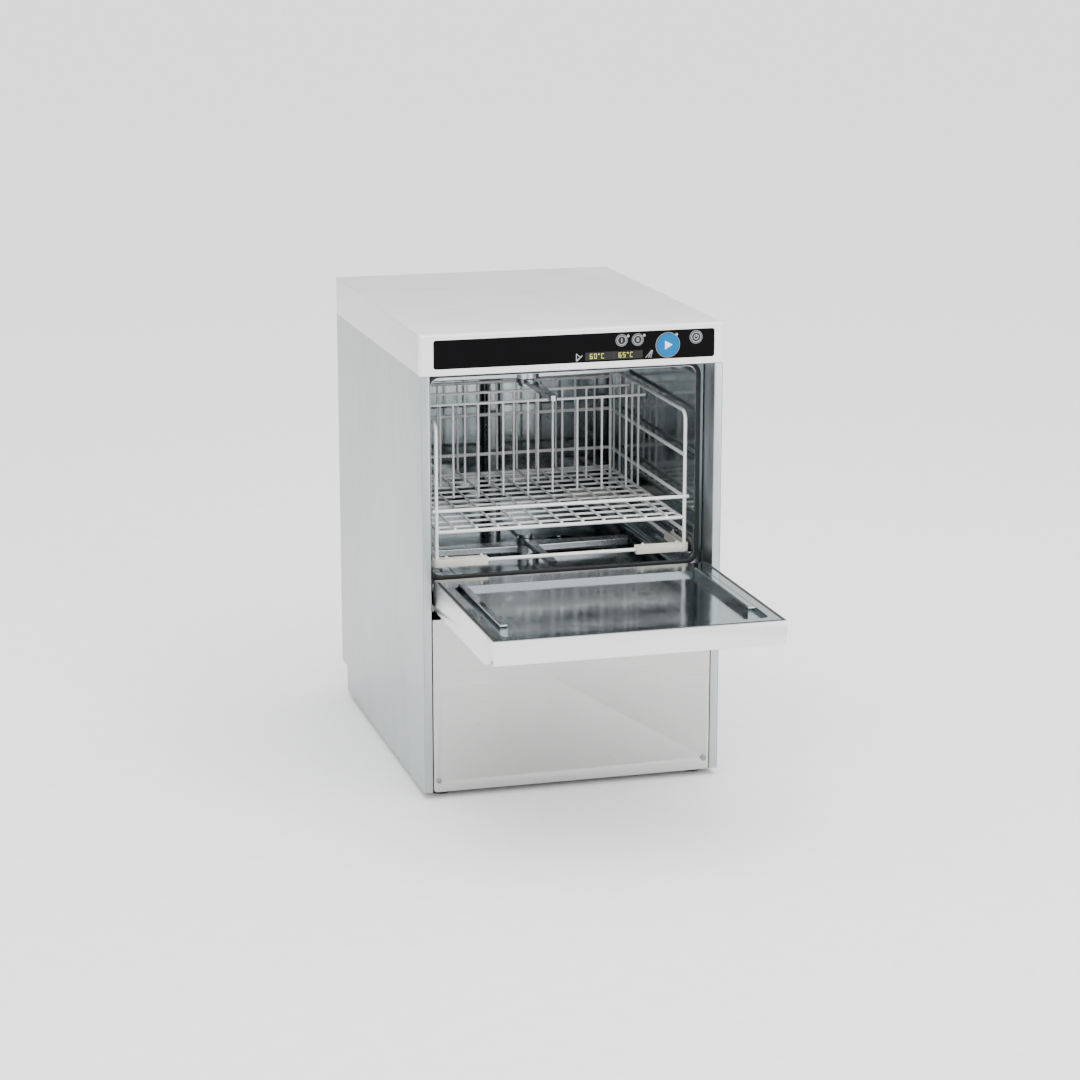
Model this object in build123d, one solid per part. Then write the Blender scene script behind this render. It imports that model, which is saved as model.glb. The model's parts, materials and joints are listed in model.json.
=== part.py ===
from build123d import *
import os

# ---------------------------------------------------------------- overall sizes (mm)
WIDTH = 460.0
DEPTH = 600.0
HEIGHT = 700.0
HEAD_HEIGHT = 60.0
FOOT_HEIGHT = 10.0
SKIN = 1.2
TOUCH_GAP = 0.05
MOVE_GAP = 0.4
SEAM = 0.02
FAR = 2000.0
RUN_GAP = 0.05

# side panels
FLANGE_WIDTH = 13.0
RETURN_DEPTH = 48.0
EDGE_FLANGE = 12.0
FLANGE_SETBACK = 4.0
FOLD_RADIUS = 0.8
NOTCH_DEPTH = 40.0
NOTCH_HEIGHT = 42.0
PANEL_CORNER = 5.0
TOP_EDGE = 1.0

# rear panel
VENT_ROWS = 9
VENT_PITCH = 12.0
VENT_SLOT = 4.0
VENT_START = (60.0, 120.0)
VENT_LONG = 100.0
REAR_SCREW_INSET = 14.0
REAR_SCREW_HEAD = 1.6
REAR_SCREW_SLOT = 1.0

# service panel
SERVICE_TOP = 288.5
SERVICE_GAP = 1.5
SERVICE_RETURN = 14.0
SERVICE_CORNER = 5.0
SCREW_INSET = 9.2
SCREW_Z = 28.0
SCREW_HEAD_R = 4.35
SCREW_HEAD_H = 2.2
SCREW_SHAFT_R = 2.0
SCREW_HOLE_R = 2.5
SCREW_LENGTH = 9.0
SCREW_DOME = 1.2
SCREW_CROSS = (2.5, 0.5)
HINGE_NOTCH_W = 13.0
HINGE_NOTCH_H = 12.0

# wash chamber
CHAMBER_SIDE_GAP = 26.0
CHAMBER_REAR_GAP = 107.0
CHAMBER_HEAD_GAP = 12.0
CHAMBER_SKIN = 1.0
CHAMBER_CORNER = 14.0
SILL_HEIGHT = 31.0
SILL_STRIP = 13.0
SILL_APRON = 150.0
FRAME_EDGE = 12.0
SUMP_HALF_X = 125.0
SUMP_FRONT = 130.0
SUMP_LONG = 260.0
SUMP_DEPTH = 95.0
SUMP_CORNER = 20.0

# door seal
SEAL_SPACE = 5.0
SEAL_INSET = 1.2
SEAL_WIDTH = 6.0
SEAL_THICK = 3.4
SEAL_EDGE = 1.2

# door
DOOR_SIDE_GAP = 18.0
DOOR_THICK = 45.0
DOOR_BOTTOM_GAP = 1.5
DOOR_TOP_GAP = 3.0
HINGE_IN = 4.0
HINGE_UP = 4.0
HANDLE_LENGTH = 47.0
HANDLE_SLANT = 8.0
CHANNEL_DEPTH = 34.0
LIP_DEPTH = 34.0
HOOK_LENGTH = 14.0
HOOK_TURN = 5.0
DOOR_SKIN = 1.2
LINER_SKIN = 1.0
LINER_RIM = 17.0
LINER_DISH = 6.0
LINER_CORNER = 12.0
LINER_EDGE = 0.6
LINER_FOOT_LIFT = 4.0
GUIDE_INSET = 31.0
GUIDE_WIDTH = 11.0
GUIDE_START = 3.0
GUIDE_END = 60.0
GUIDE_EDGE = 2.0
GUIDE_ABOVE_RIM = 5.6
FOAM_EDGE = 8.0
FOAM_GAP = 0.3
PIN_R = 4.0
PIN_BOSS_R = 6.0
PIN_END_GAP = 0.3
HINGE_ARM = 2.5
HINGE_ARM_LENGTH = 70.0
HINGE_ARM_LIFT = 2.0
BRACKET_THICK = 3.4
BRACKET_HIGH = 26.0
BRACKET_STEP = 14.0

# rack
RACK_SIDE_GAP = 4.0
RACK_FRONT_GAP = 7.0
RACK_REAR_GAP = 36.0
RACK_TOP_GAP = 9.4
RACK_ABOVE_SILL = 10.0
MAIN_WIRE_R = 2.75
THIN_WIRE_R = 1.75
BASE_WIRE_R = 3.0
SHOE_LENGTH = 84.0
SHOE_WIDTH = 13.0
SHOE_HEIGHT = 12.0
SHOE_FLOOR = 3.0
SHOE_CORNER = 8.0
FLOOR_LEVEL = 52.0
GRID_PITCH = 33.0
WALL_WIRES = 5
FRONT_RAIL_LEVEL = 84.0
SIDE_RAIL_LEVELS = (31.0, 83.0)
HIGH_RAIL_DROP = 70.0
SIDE_WIRE_PITCH = 33.0
FENCE_STEPS = (3.3, 5.9)
FENCE_DROP = 12.0
FENCE_PITCH = 40.0
FENCE_SIDE = 10.0
FENCE_RAIL_R = 2.25
RAIL_END = 6.0
POST_BEND = 14.0
WELD = 0.4

# rack rails in the chamber
RAIL_SKIN = 1.2
RAIL_SHELF = 17.0
RAIL_UPRIGHT = 22.0
RAIL_FRONT_GAP = 3.0
RAIL_LIP = 7.0

# wash and rinse arms
ARM_SIDE_GAP = 32.0
ARM_RISER_GAP = 19.5
RINSE_SHORTER = 8.0
ARM_HUB_R = 24.0
ARM_HIGH = 12.0
ARM_ROOT_WIDE = 34.0
ARM_TIP_WIDE = 22.0
ARM_EDGE = 2.5
RINSE_HUB_R = 14.0
RINSE_HIGH = 8.0
RINSE_WIDE = 12.0
POST_R = 8.0
POST_NECK_R = 6.0
POST_NUT_R = 11.0
POST_NUT_H = 5.0
POST_NUT_EDGE = 1.0
NOZZLE_R = 2.0
NOZZLES = 4
LOWER_ARM_LIFT = 6.0
UPPER_SEAT_GAP = 2.0
ARM_STEP = 1.5

# water path
MANIFOLD_R = 16.0
MANIFOLD_DROP = 29.0
PIPE_WALL = 2.0
RISER_R = 13.0
RISER_BACK_GAP = 4.0
RISER_DROP = 18.0
RISER_BEND = 26.0
BRANCH_BEND = 30.0
CLIP_HALF = 8.0
CLIP_HIGH = 12.0
CLIPS = 2
PUMP_X = 20.0
PUMP_Z = 108.0
PUMP_R = 44.0
PUMP_WIDE = 40.0
MOTOR_R = 40.0
PUMP_EDGE = 4.0
PUMP_WALL = 4.0
PUMP_PORT_R = 12.0
PUMP_PORT_BORE = 9.0
PUMP_PORT_LONG = 14.0
PUMP_OUTLET_SHIFT = 28.0
PUMP_HOLLOW = 30.0
MOTOR_LONG = 120.0
MOTOR_EDGE = 6.0
MOTOR_FINS = 8
FIN_PITCH = 10.0
FIN_GROOVE = 4.0
MOTOR_FOOT = (26.0, 14.0, 3.0)
SUCTION_SHIFT = 36.0
HOSE_R = 12.0
HOSE_BORE = 9.0
PRESSURE_HOSE_R = 10.0
THIN_HOSE_R = 7.5
THIN_HOSE_BORE = 5.0
SUCTION_BEND = 20.0
RINSE_HOSE_RISE = 60.0
RINSE_ENTRY_X = -40.0
FILTER_OVERLAP = 14.0
FILTER_SKIN = 1.2
BASKET_R = 34.0
BASKET_X = 78.0
BASKET_Y = 52.0
BASKET_DEEP = 66.0
BASKET_RIM = 3.0
FILTER_GAP = 0.5
ELEMENT_R = 4.0
ELEMENT_X = -60.0
ELEMENT_LIFT = 21.0
ELEMENT_RISE = 30.0
ELEMENT_BEND = 14.0
ELEMENT_FLANGE = (16.0, 15.0, 4.0)
BOOSTER_GAP = 6.5
BOOSTER_X = -105.0
BOOSTER_Z = 190.0
BOOSTER_HEAD_GAP = 150.0
BOOSTER_WALL = 3.0
BOOSTER_EDGE = 16.0
BOOSTER_SPOUT = (7.0, 14.0)
BOOSTER_FLANGE_R = 25.0
SHELF_SKIN = 2.0
SHELF_MARGIN = 8.0
SHELF_LEG = (40.0, 60.0)
BREAK_TANK_X = 30.0
BREAK_TANK_WIDE = 120.0
BREAK_TANK_TALL = 150.0
BREAK_TANK_HEAD_GAP = 50.0
BREAK_TANK_REAR = 19.0
BREAK_TANK_WALL = 3.0
BREAK_TANK_NECK = (7.0, 16.0)
REAR_GAP = 10.0
DRAIN_X = 120.0
INLET_X = 60.0
GLAND_X = -120.0
REAR_PORT_Z = 32.0
DRAIN_SPIGOT_R = 11.0
DRAIN_BORE_R = 8.0
INLET_THREAD_R = 13.2
INLET_BORE_R = 8.5
GLAND_R = 12.0
GLAND_BORE_R = 5.5
PORT_GAP = 0.3
PORT_FLANGE = 3.0
SPIGOT_LONG = 30.0
INLET_LONG = 26.0
INLET_TALL = 64.0
DRAIN_PUMP_R = 28.0
DRAIN_PUMP_Z = 62.0
DRAIN_PUMP_LONG = 60.0
DRAIN_PUMP_SETBACK = 150.0

# dosing and wiring
DOSING_SETBACK = 62.0
DOSING_SIDE = 30.0
DOSING_TALL = 240.0
DOSING_SKIN = 1.5
DOSING_FOOT = 28.0
DOSING_CASE = (56.0, 26.0, 64.0)
DOSING_CASE_Z = 160.0
DOSING_HEAD_R = 22.0
DOSING_HEAD_DEEP = 14.0
DOSING_PORT = (10.0, 3.0)
DETERGENT_X = -150.0
RINSE_AID_X = -75.0
WIRING_SIDE = 22.0
TERMINALS = 5
TERMINAL_PITCH = 18.0
TERMINAL_SIZE = (44.0, 100.0, 36.0)
TERMINAL_SETBACK = 200.0
CONTACTOR_SIZE = (58.0, 58.0, 70.0)
CONTACTOR_SETBACK = 90.0
WIRING_Z = 60.0
WIRING_LEG = 4.0

# controls
FASCIA_DEPTH = 15.0
FASCIA_WALL = 2.5
FASCIA_EDGE = 1.6
OVERLAY_SIDE = 33.0
OVERLAY_HIGH = 42.4
OVERLAY_SHIFT = 2.5
OVERLAY_LIFT = 31.3
OVERLAY_SKIN = 1.0
OVERLAY_SINK = 0.2
OVERLAY_CORNER = 4.0
OVERLAY_GAP = 0.1
START_IN = 86.4
START_LIFT = 30.4
START_R = 17.3
START_LAMP = (13.5, 15.0)
KEY_R = 7.6
KEY_LIFT = 40.3
KEYS_IN = (157.6, 132.9)
KEY_LAMP = (10.0, 6.0)
POWER_IN = 42.8
POWER_R = 8.4
BUTTON_PROUD = 0.5
BUTTON_GAP = 0.35
BUTTON_TRAVEL = 1.2
BUTTON_RETAINER = 1.6
BUTTON_FLANGE = 1.2
BUTTON_STEM_R = 2.5
BUTTON_EDGE = 0.5
SWITCH_HALF = 3.0
SWITCH_DEEP = 2.4
DISPLAY_IN = 169.0
DISPLAY_LIFT = 18.6
DISPLAY_WIDE = 88.0
DISPLAY_HIGH = 12.0
DISPLAY_MODULE = (3.0, 3.0)
LED_R = 2.0
BOARD_WIDE = 300.0
BOARD_HIGH = 46.0
BOARD_THICK = 1.6
BOARD_IN = 170.0
BOARD_LIFT = 4.0
BOARD_Y = 16.0
BOARD_POSTS = (-140.0, -60.0, 140.0)
BOARD_POST_LIFT = 8.0
BOARD_POST_R = 3.0
BOARD_PARTS = ((-130.0, -100.0, 12.0, 20.0), (-30.0, 20.0, 10.0, 26.0))

# base and feet
BASE_SKIN = 1.5
BASE_UPSTAND = 22.0
BASE_INSET = 15.0
TAB_REACH = 13.0
TAB_HIGH = 23.0
TAB_LIFT = 5.0
TAB_SETBACK = 4.0
FOOT_R = 18.0
FOOT_PAD = 7.0
FOOT_STEM_R = 5.0
FOOT_STEM_TOP = 34.0
FOOT_NUT_R = 8.5
FOOT_NUT_H = 6.0
FOOT_SIDE = 32.0
FOOT_EDGE = 1.5
FOOT_FRONT = 40.0
FOOT_BACK = 62.0

# ---------------------------------------------------------------- derived places
# cabinet
FRONT = -DEPTH / 2
BACK = DEPTH / 2
HALF = WIDTH / 2
HEAD_Z = HEIGHT - HEAD_HEIGHT
BODY_Z = FOOT_HEIGHT
NOTCH_Y = BACK - NOTCH_DEPTH
NOTCH_Z = BODY_Z + NOTCH_HEIGHT
RETURN_X = HALF - FLANGE_WIDTH
SCREW_X = RETURN_X - SCREW_INSET
FOOT_X = HALF - FOOT_SIDE

# door, shut
DOOR_HALF = HALF - DOOR_SIDE_GAP
DOOR_BOTTOM = SERVICE_TOP + DOOR_BOTTOM_GAP
DOOR_TOP = HEAD_Z - DOOR_TOP_GAP
DOOR_INNER = FRONT + DOOR_THICK
HINGE_Y = FRONT + HINGE_IN
HINGE_Z = DOOR_BOTTOM + HINGE_UP
DOOR_REACH_Y = HINGE_Y - (DOOR_TOP - HINGE_Z)
OPEN_DOOR_Z = HINGE_Z + DOOR_INNER - HINGE_Y
GUIDE_X = DOOR_HALF - GUIDE_INSET
SHIFT_Y = -(DOOR_REACH_Y + BACK + REAR_SCREW_HEAD) / 2

# the open door sets the rack's level, and the rack sets the sill and the chamber floor
RACK_REST_Z = OPEN_DOOR_Z + GUIDE_ABOVE_RIM + MOVE_GAP
SILL_Z = RACK_REST_Z - RACK_ABOVE_SILL
FRAME_BOTTOM = SILL_Z - SILL_STRIP
LINER_FOOT = SILL_Z + LINER_FOOT_LIFT
FRAME_Y = DOOR_INNER + SEAL_SPACE
CHAMBER_HALF = HALF - CHAMBER_SIDE_GAP
CHAMBER_BACK = BACK - CHAMBER_REAR_GAP
CHAMBER_FLOOR = SILL_Z - SILL_HEIGHT
CHAMBER_TOP = HEAD_Z - CHAMBER_HEAD_GAP
ARM_Y = (FRAME_Y + CHAMBER_BACK) / 2
SUMP_Y0 = ARM_Y - SUMP_FRONT
SUMP_Y1 = SUMP_Y0 + SUMP_LONG
SUMP_BOTTOM = CHAMBER_FLOOR - SUMP_DEPTH

# water path
RISER_Y = CHAMBER_BACK - RISER_BACK_GAP - RISER_R
RISER_TOP = CHAMBER_TOP - RISER_DROP
LOWER_SEAT_Z = CHAMBER_FLOOR + LOWER_ARM_LIFT - ARM_STEP
UPPER_SEAT_Z = RISER_TOP - RISER_R - UPPER_SEAT_GAP
POST_LONG = ARM_HIGH + RINSE_HIGH + POST_NUT_H + 4 * MOVE_GAP
ARM_RADIUS = min(CHAMBER_HALF - ARM_SIDE_GAP, RISER_Y - RISER_R - ARM_Y - ARM_RISER_GAP)
RINSE_RADIUS = ARM_RADIUS - RINSE_SHORTER
MANIFOLD_Z = SUMP_BOTTOM - MANIFOLD_DROP
ELEMENT_Z = SUMP_BOTTOM + ELEMENT_LIFT
SUCTION_X = PUMP_X + PUMP_WIDE + SUCTION_SHIFT
BOOSTER_R = CHAMBER_REAR_GAP / 2 - BOOSTER_GAP
BOOSTER_Y = (CHAMBER_BACK + BACK) / 2
BOOSTER_TALL = HEAD_Z - BOOSTER_HEAD_GAP - BOOSTER_Z
BREAK_TANK_DEEP = CHAMBER_REAR_GAP - REAR_GAP - BREAK_TANK_REAR
BREAK_TANK_Z = HEAD_Z - BREAK_TANK_HEAD_GAP - BREAK_TANK_TALL
DRAIN_PUMP_Y = NOTCH_Y - DRAIN_PUMP_SETBACK
BASE_TOP = BODY_Z + SKIN + TOUCH_GAP + BASE_SKIN + TOUCH_GAP

# rack
RACK_HALF = CHAMBER_HALF - RACK_SIDE_GAP
RACK_Y0 = FRAME_Y + RACK_FRONT_GAP
RACK_Y1 = CHAMBER_BACK - RACK_REAR_GAP
RACK_MIDDLE_Y = (RACK_Y0 + RACK_Y1) / 2
RACK_HEIGHT = UPPER_SEAT_Z - POST_LONG - RACK_TOP_GAP - RACK_REST_Z
HIGH_RAIL_LEVEL = RACK_HEIGHT - HIGH_RAIL_DROP
FENCE_LEVEL = RACK_HEIGHT - FENCE_DROP

# controls
OVERLAY_WIDE = WIDTH - OVERLAY_SIDE
OVERLAY_Z = HEAD_Z + OVERLAY_LIFT
START_X = HALF - START_IN
START_Z = HEAD_Z + START_LIFT
KEY_XS = [HALF - inward for inward in KEYS_IN]
KEY_Z = HEAD_Z + KEY_LIFT
POWER_X = HALF - POWER_IN
DISPLAY_X = HALF - DISPLAY_IN
DISPLAY_Z = HEAD_Z + DISPLAY_LIFT
BOARD_X = HALF - BOARD_IN
WALL_BACK = FRONT + OVERLAY_SKIN + OVERLAY_SINK + FASCIA_WALL


# ---------------------------------------------------------------- helpers
def span(x0, x1, y0, y1, z0, z1):
    size = (abs(x1 - x0), abs(y1 - y0), abs(z1 - z0))
    centre = ((x0 + x1) / 2, (y0 + y1) / 2, (z0 + z1) / 2)
    return Pos(*centre) * Box(*size)


def rod(start, end, radius):
    start = Vector(*start)
    line = Vector(*end) - start
    from_start = (Align.CENTER, Align.CENTER, Align.MIN)
    return Plane(origin=start, z_dir=line) * Cylinder(radius, line.length, align=from_start)


def rod_x(y, z, x0, x1, radius):
    return rod((x0, y, z), (x1, y, z), radius)


def rod_y(x, z, y0, y1, radius):
    return rod((x, y0, z), (x, y1, z), radius)


def rod_z(x, y, z0, z1, radius):
    return rod((x, y, z0), (x, y, z1), radius)


def bent_rod(points, radius, bend):
    path = FilletPolyline(*points, radius=bend)
    return sweep(Plane(origin=path @ 0, z_dir=path % 0) * Circle(radius), path)


def tube(start, end, outer, inner):
    return rod(start, end, outer) - rod(start, end, inner)


def bent_tube(points, outer, inner, bend):
    return bent_rod(points, outer, bend) - bent_rod(points, inner, bend)


def upright(shape, axis=Axis.Z):
    return shape.edges().filter_by(axis)


def both_sides(shape):
    return Part() + [shape, mirror(shape, about=Plane.YZ)]


def opened(shape):
    pivot = Axis((0, HINGE_Y, HINGE_Z), (1, 0, 0))
    return shape.rotate(pivot, 90)


def seamed(shape, *zones):
    """The same shape as separate panels that meet at hairline seams, one for each zone."""
    half = SEAM / 2
    panels = []
    for x0, x1, y0, y1, z0, z1 in zones:
        panels.append(shape & span(x0 + half, x1 - half, y0 + half, y1 - half, z0 + half, z1 - half))
    return Part() + panels


def sunk_box(x0, x1, y0, y1, z0, z1, skin, open_face):
    cut = {"x": (x0 + skin, x1 - skin), "y": (y0 + skin, y1 - skin), "z": (z0 + skin, z1 - skin)}
    axis = open_face[0]
    low, high = cut[axis]
    cut[axis] = (low, high + 2 * skin) if open_face[1] == "+" else (low - 2 * skin, high)
    return span(x0, x1, y0, y1, z0, z1) - span(*cut["x"], *cut["y"], *cut["z"])


# ---------------------------------------------------------------- cabinet skins
def side_panel():
    top = HEAD_Z - TOUCH_GAP
    skin = span(HALF - SKIN, HALF, FRONT, BACK - SKIN - TOUCH_GAP, BODY_Z, top)
    inner = HALF - EDGE_FLANGE
    y_flange = NOTCH_Y - FLANGE_SETBACK
    skin += span(inner, HALF, FRONT + RETURN_DEPTH, y_flange, BODY_Z, BODY_Z + SKIN)
    skin += span(inner, HALF, FRAME_Y + 2, y_flange, top - SKIN, top)
    skin -= span(HALF - 2 * EDGE_FLANGE, HALF + 1, NOTCH_Y, BACK + 1, BODY_Z - 1, NOTCH_Z)
    corner = [e for e in upright(skin, Axis.X) if e.center().Y > NOTCH_Y - 1 and e.center().Z < BODY_Z + 1]
    skin = fillet(corner, PANEL_CORNER)
    outer = [e for e in upright(skin) if abs(e.center().X - HALF) < 0.01 and e.center().Y < FRONT + 1]
    return fillet(outer, FOLD_RADIUS)


def front_post():
    x1 = HALF - SKIN - TOUCH_GAP
    top = HEAD_Z - TOUCH_GAP
    post = span(RETURN_X, x1, FRONT, FRONT + SKIN, BODY_Z, top)
    post += span(RETURN_X, RETURN_X + SKIN, FRONT, FRONT + RETURN_DEPTH, BODY_Z, top)
    inner = [e for e in upright(post) if abs(e.center().X - RETURN_X) < 0.01 and e.center().Y < FRONT + 1]
    return fillet(inner, FOLD_RADIUS)


def front_posts():
    return both_sides(front_post())


def left_side_panel():
    return mirror(side_panel(), about=Plane.YZ)


def rear_panel():
    x = HALF - TOUCH_GAP
    panel = span(-x, x, BACK - SKIN, BACK, NOTCH_Z, HEAD_Z - TOUCH_GAP)
    inner = HALF - SKIN - TOUCH_GAP
    panel += span(-inner, inner, NOTCH_Y, BACK, NOTCH_Z, NOTCH_Z + SKIN)
    panel += span(-inner, inner, NOTCH_Y, NOTCH_Y + SKIN, BODY_Z + SKIN + TOUCH_GAP, NOTCH_Z + SKIN)
    for x_place, radius in rear_ports():
        panel -= rod_y(x_place, REAR_PORT_Z, NOTCH_Y - 5, NOTCH_Y + 5, radius + PORT_GAP)
    x_vent, z_vent = VENT_START
    for row in range(VENT_ROWS):
        z_slot = z_vent + row * VENT_PITCH
        panel -= span(x_vent, x_vent + VENT_LONG, BACK - 5, BACK + 5, z_slot, z_slot + VENT_SLOT)
    fold_z = NOTCH_Z + SKIN
    fold_y = NOTCH_Y + SKIN
    upper_sheet = (-FAR, FAR, 0, FAR, fold_z, FAR)
    step = (-FAR, FAR, fold_y, FAR, 0, fold_z)
    lower_sheet = (-FAR, FAR, 0, fold_y, 0, fold_z)
    return seamed(panel, upper_sheet, step, lower_sheet) + booster_shelf()


def rear_ports():
    return [(DRAIN_X, DRAIN_SPIGOT_R), (INLET_X, INLET_THREAD_R), (GLAND_X, GLAND_R - 2)]


def booster_shelf():
    top = BOOSTER_Z - TOUCH_GAP
    half = BOOSTER_R + SHELF_MARGIN
    y_sheet = BACK - SKIN - TOUCH_GAP
    leg_deep, leg_high = SHELF_LEG
    shelf = span(BOOSTER_X - half, BOOSTER_X + half, CHAMBER_BACK + REAR_GAP, y_sheet, top - SHELF_SKIN, top)
    shelf -= rod_z(BOOSTER_X, BOOSTER_Y, top - 5, top + 5, BOOSTER_FLANGE_R + 2)
    for x0 in (BOOSTER_X - half, BOOSTER_X + half - SHELF_SKIN):
        shelf += span(x0, x0 + SHELF_SKIN, y_sheet - leg_deep, y_sheet, top - leg_high, top)
    return shelf


def rear_panel_screws():
    screws = []
    for x_place in (-HALF + REAR_SCREW_INSET, HALF - REAR_SCREW_INSET):
        for z_place in (NOTCH_Z + REAR_SCREW_INSET, (NOTCH_Z + HEAD_Z) / 2, HEAD_Z - REAR_SCREW_INSET):
            head = rod_y(x_place, z_place, BACK, BACK + REAR_SCREW_HEAD, SCREW_HEAD_R)
            y_slot = BACK + REAR_SCREW_HEAD / 2
            half_slot = REAR_SCREW_SLOT / 2
            slot = span(x_place - 3, x_place + 3, y_slot, BACK + 3, z_place - half_slot, z_place + half_slot)
            screws.append(head - slot)
    return Part() + screws


def top_cover():
    y0 = FRONT + FASCIA_DEPTH + TOUCH_GAP
    cover = sunk_box(-HALF, HALF, y0, BACK, HEAD_Z, HEIGHT, SKIN, "z-")
    cover -= span(-HALF + SKIN, HALF - SKIN, y0 - 1, y0 + 2 * SKIN, HEAD_Z - 1, HEIGHT - SKIN)
    return fillet(cover.faces().sort_by(Axis.Z)[-1].edges().filter_by(Axis.Y), TOP_EDGE)


def head_fascia():
    wall = FASCIA_WALL
    y1 = FRONT + FASCIA_DEPTH
    body = span(-HALF, HALF, FRONT, y1, HEAD_Z, HEIGHT)
    body = fillet(body.faces().sort_by(Axis.Y)[0].edges(), FASCIA_EDGE)
    body -= span(-HALF + wall, HALF - wall, WALL_BACK, y1 + 1, HEAD_Z + wall, HEIGHT - wall)
    body -= overlay_blank(OVERLAY_SKIN + OVERLAY_SINK, OVERLAY_GAP, FRONT - 1, 1)
    for x_place, z_place, radius in button_places():
        body -= rod_y(x_place, z_place, FRONT - 1, y1, radius + BUTTON_GAP)
    body -= display_block(FRONT - 1, y1, -1)
    z_post = HEAD_Z + BOARD_POST_LIFT
    for shift in BOARD_POSTS:
        body += rod_y(BOARD_X + shift, z_post, WALL_BACK - 0.5, FRONT + BOARD_Y, BOARD_POST_R)
    return body


def overlay_blank(depth, grow, y_front, extra=0):
    wide = OVERLAY_WIDE + 2 * grow
    high = OVERLAY_HIGH + 2 * grow
    middle = (OVERLAY_SHIFT, y_front + (depth + extra) / 2, OVERLAY_Z)
    block = Pos(*middle) * Box(wide, depth + extra, high)
    return fillet(upright(block, Axis.Y), OVERLAY_CORNER + grow)


def display_block(y0, y1, grow):
    x_half = DISPLAY_WIDE / 2 + grow
    z_half = DISPLAY_HIGH / 2 + grow
    return span(DISPLAY_X - x_half, DISPLAY_X + x_half, y0, y1, DISPLAY_Z - z_half, DISPLAY_Z + z_half)


def button_places():
    places = [(START_X, START_Z, START_R), (POWER_X, KEY_Z, POWER_R)]
    for x_place in KEY_XS:
        places.append((x_place, KEY_Z, KEY_R))
    return places


def lamp_places():
    lamps = [(START_X + START_LAMP[0], START_Z + START_LAMP[1])]
    for x_place in KEY_XS:
        lamps.append((x_place + KEY_LAMP[0], KEY_Z + KEY_LAMP[1]))
    return lamps


def control_overlay():
    sheet = overlay_blank(OVERLAY_SKIN, 0, FRONT + OVERLAY_SINK)
    for x_place, z_place, radius in button_places():
        sheet -= rod_y(x_place, z_place, FRONT - 1, FRONT + 4, radius + BUTTON_GAP)
    for x_place, z_place in lamp_places():
        sheet -= rod_y(x_place, z_place, FRONT - 1, FRONT + 4, LED_R)
    return sheet - display_block(FRONT - 1, FRONT + 4, 0)


def display_window():
    y0 = FRONT + OVERLAY_SINK + 0.1
    return display_block(y0, FRONT + OVERLAY_SINK + OVERLAY_SKIN, -TOUCH_GAP)


def status_lamps():
    y1 = FRONT + OVERLAY_SINK + OVERLAY_SKIN
    return Part() + [rod_y(x, z, FRONT + 0.1, y1, LED_R - 0.02) for x, z in lamp_places()]


def push_button(x_place, z_place, radius):
    flange_y = WALL_BACK + MOVE_GAP
    cap = rod_y(x_place, z_place, FRONT - BUTTON_PROUD, flange_y + 0.5, radius)
    cap = fillet(cap.faces().sort_by(Axis.Y)[0].edges(), BUTTON_EDGE)
    cap += rod_y(x_place, z_place, flange_y, flange_y + BUTTON_FLANGE, radius + BUTTON_RETAINER)
    stem_end = FRONT + BOARD_Y - SWITCH_DEEP - BUTTON_TRAVEL - MOVE_GAP
    return cap + rod_y(x_place, z_place, flange_y, stem_end, BUTTON_STEM_R)


def control_board():
    y0 = FRONT + BOARD_Y
    y1 = y0 + BOARD_THICK
    z0 = HEAD_Z + BOARD_LIFT
    x_half = BOARD_WIDE / 2
    board = span(BOARD_X - x_half, BOARD_X + x_half, y0, y1, z0, z0 + BOARD_HIGH)
    half = SWITCH_HALF
    for x, z, radius in button_places():
        board += span(x - half, x + half, y0 - SWITCH_DEEP, y0, z - half, z + half)
    board += display_block(WALL_BACK + 0.2, y0, DISPLAY_MODULE[0])
    for left, right, deep, high in BOARD_PARTS:
        board += span(BOARD_X + left, BOARD_X + right, y1, y0 + deep, z0 + 10, z0 + 10 + high)
    return board


def service_panel():
    half = RETURN_X - SERVICE_GAP
    z0 = BODY_Z + 0.5
    skin = span(-half, half, FRONT, FRONT + SERVICE_RETURN, z0, SERVICE_TOP)
    bottom = [e for e in upright(skin, Axis.Y) if e.center().Z < z0 + 1]
    skin = fillet(bottom, SERVICE_CORNER)
    skin -= span(-half + SKIN, half - SKIN, FRONT + SKIN, BACK, z0 + SKIN, SERVICE_TOP - SKIN)
    notch_z = SERVICE_TOP - HINGE_NOTCH_H
    for side in (-1, 1):
        notch_x = side * (half - HINGE_NOTCH_W)
        skin -= span(notch_x, side * (half + 2), FRONT - 1, BACK, notch_z, SERVICE_TOP + 1)
        skin -= rod_y(side * SCREW_X, SCREW_Z, FRONT - 1, FRONT + 3, SCREW_HOLE_R)
    return skin


def service_panel_screws():
    screws = []
    arm, half = SCREW_CROSS
    for x in (-SCREW_X, SCREW_X):
        head = rod_y(x, SCREW_Z, FRONT, FRONT - SCREW_HEAD_H, SCREW_HEAD_R)
        head = fillet(head.faces().sort_by(Axis.Y)[0].edges(), SCREW_DOME)
        head -= span(x - arm, x + arm, FRONT - 3, FRONT - 1, SCREW_Z - half, SCREW_Z + half)
        head -= span(x - half, x + half, FRONT - 3, FRONT - 1, SCREW_Z - arm, SCREW_Z + arm)
        screws.append(head + rod_y(x, SCREW_Z, FRONT - 0.5, FRONT + SCREW_LENGTH, SCREW_SHAFT_R))
    return Part() + screws


# ---------------------------------------------------------------- base
def foot_places():
    y_front = FRONT + FOOT_FRONT
    y_back = NOTCH_Y - FOOT_BACK
    return [(x, y) for x in (-FOOT_X, FOOT_X) for y in (y_front, y_back)]


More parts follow.
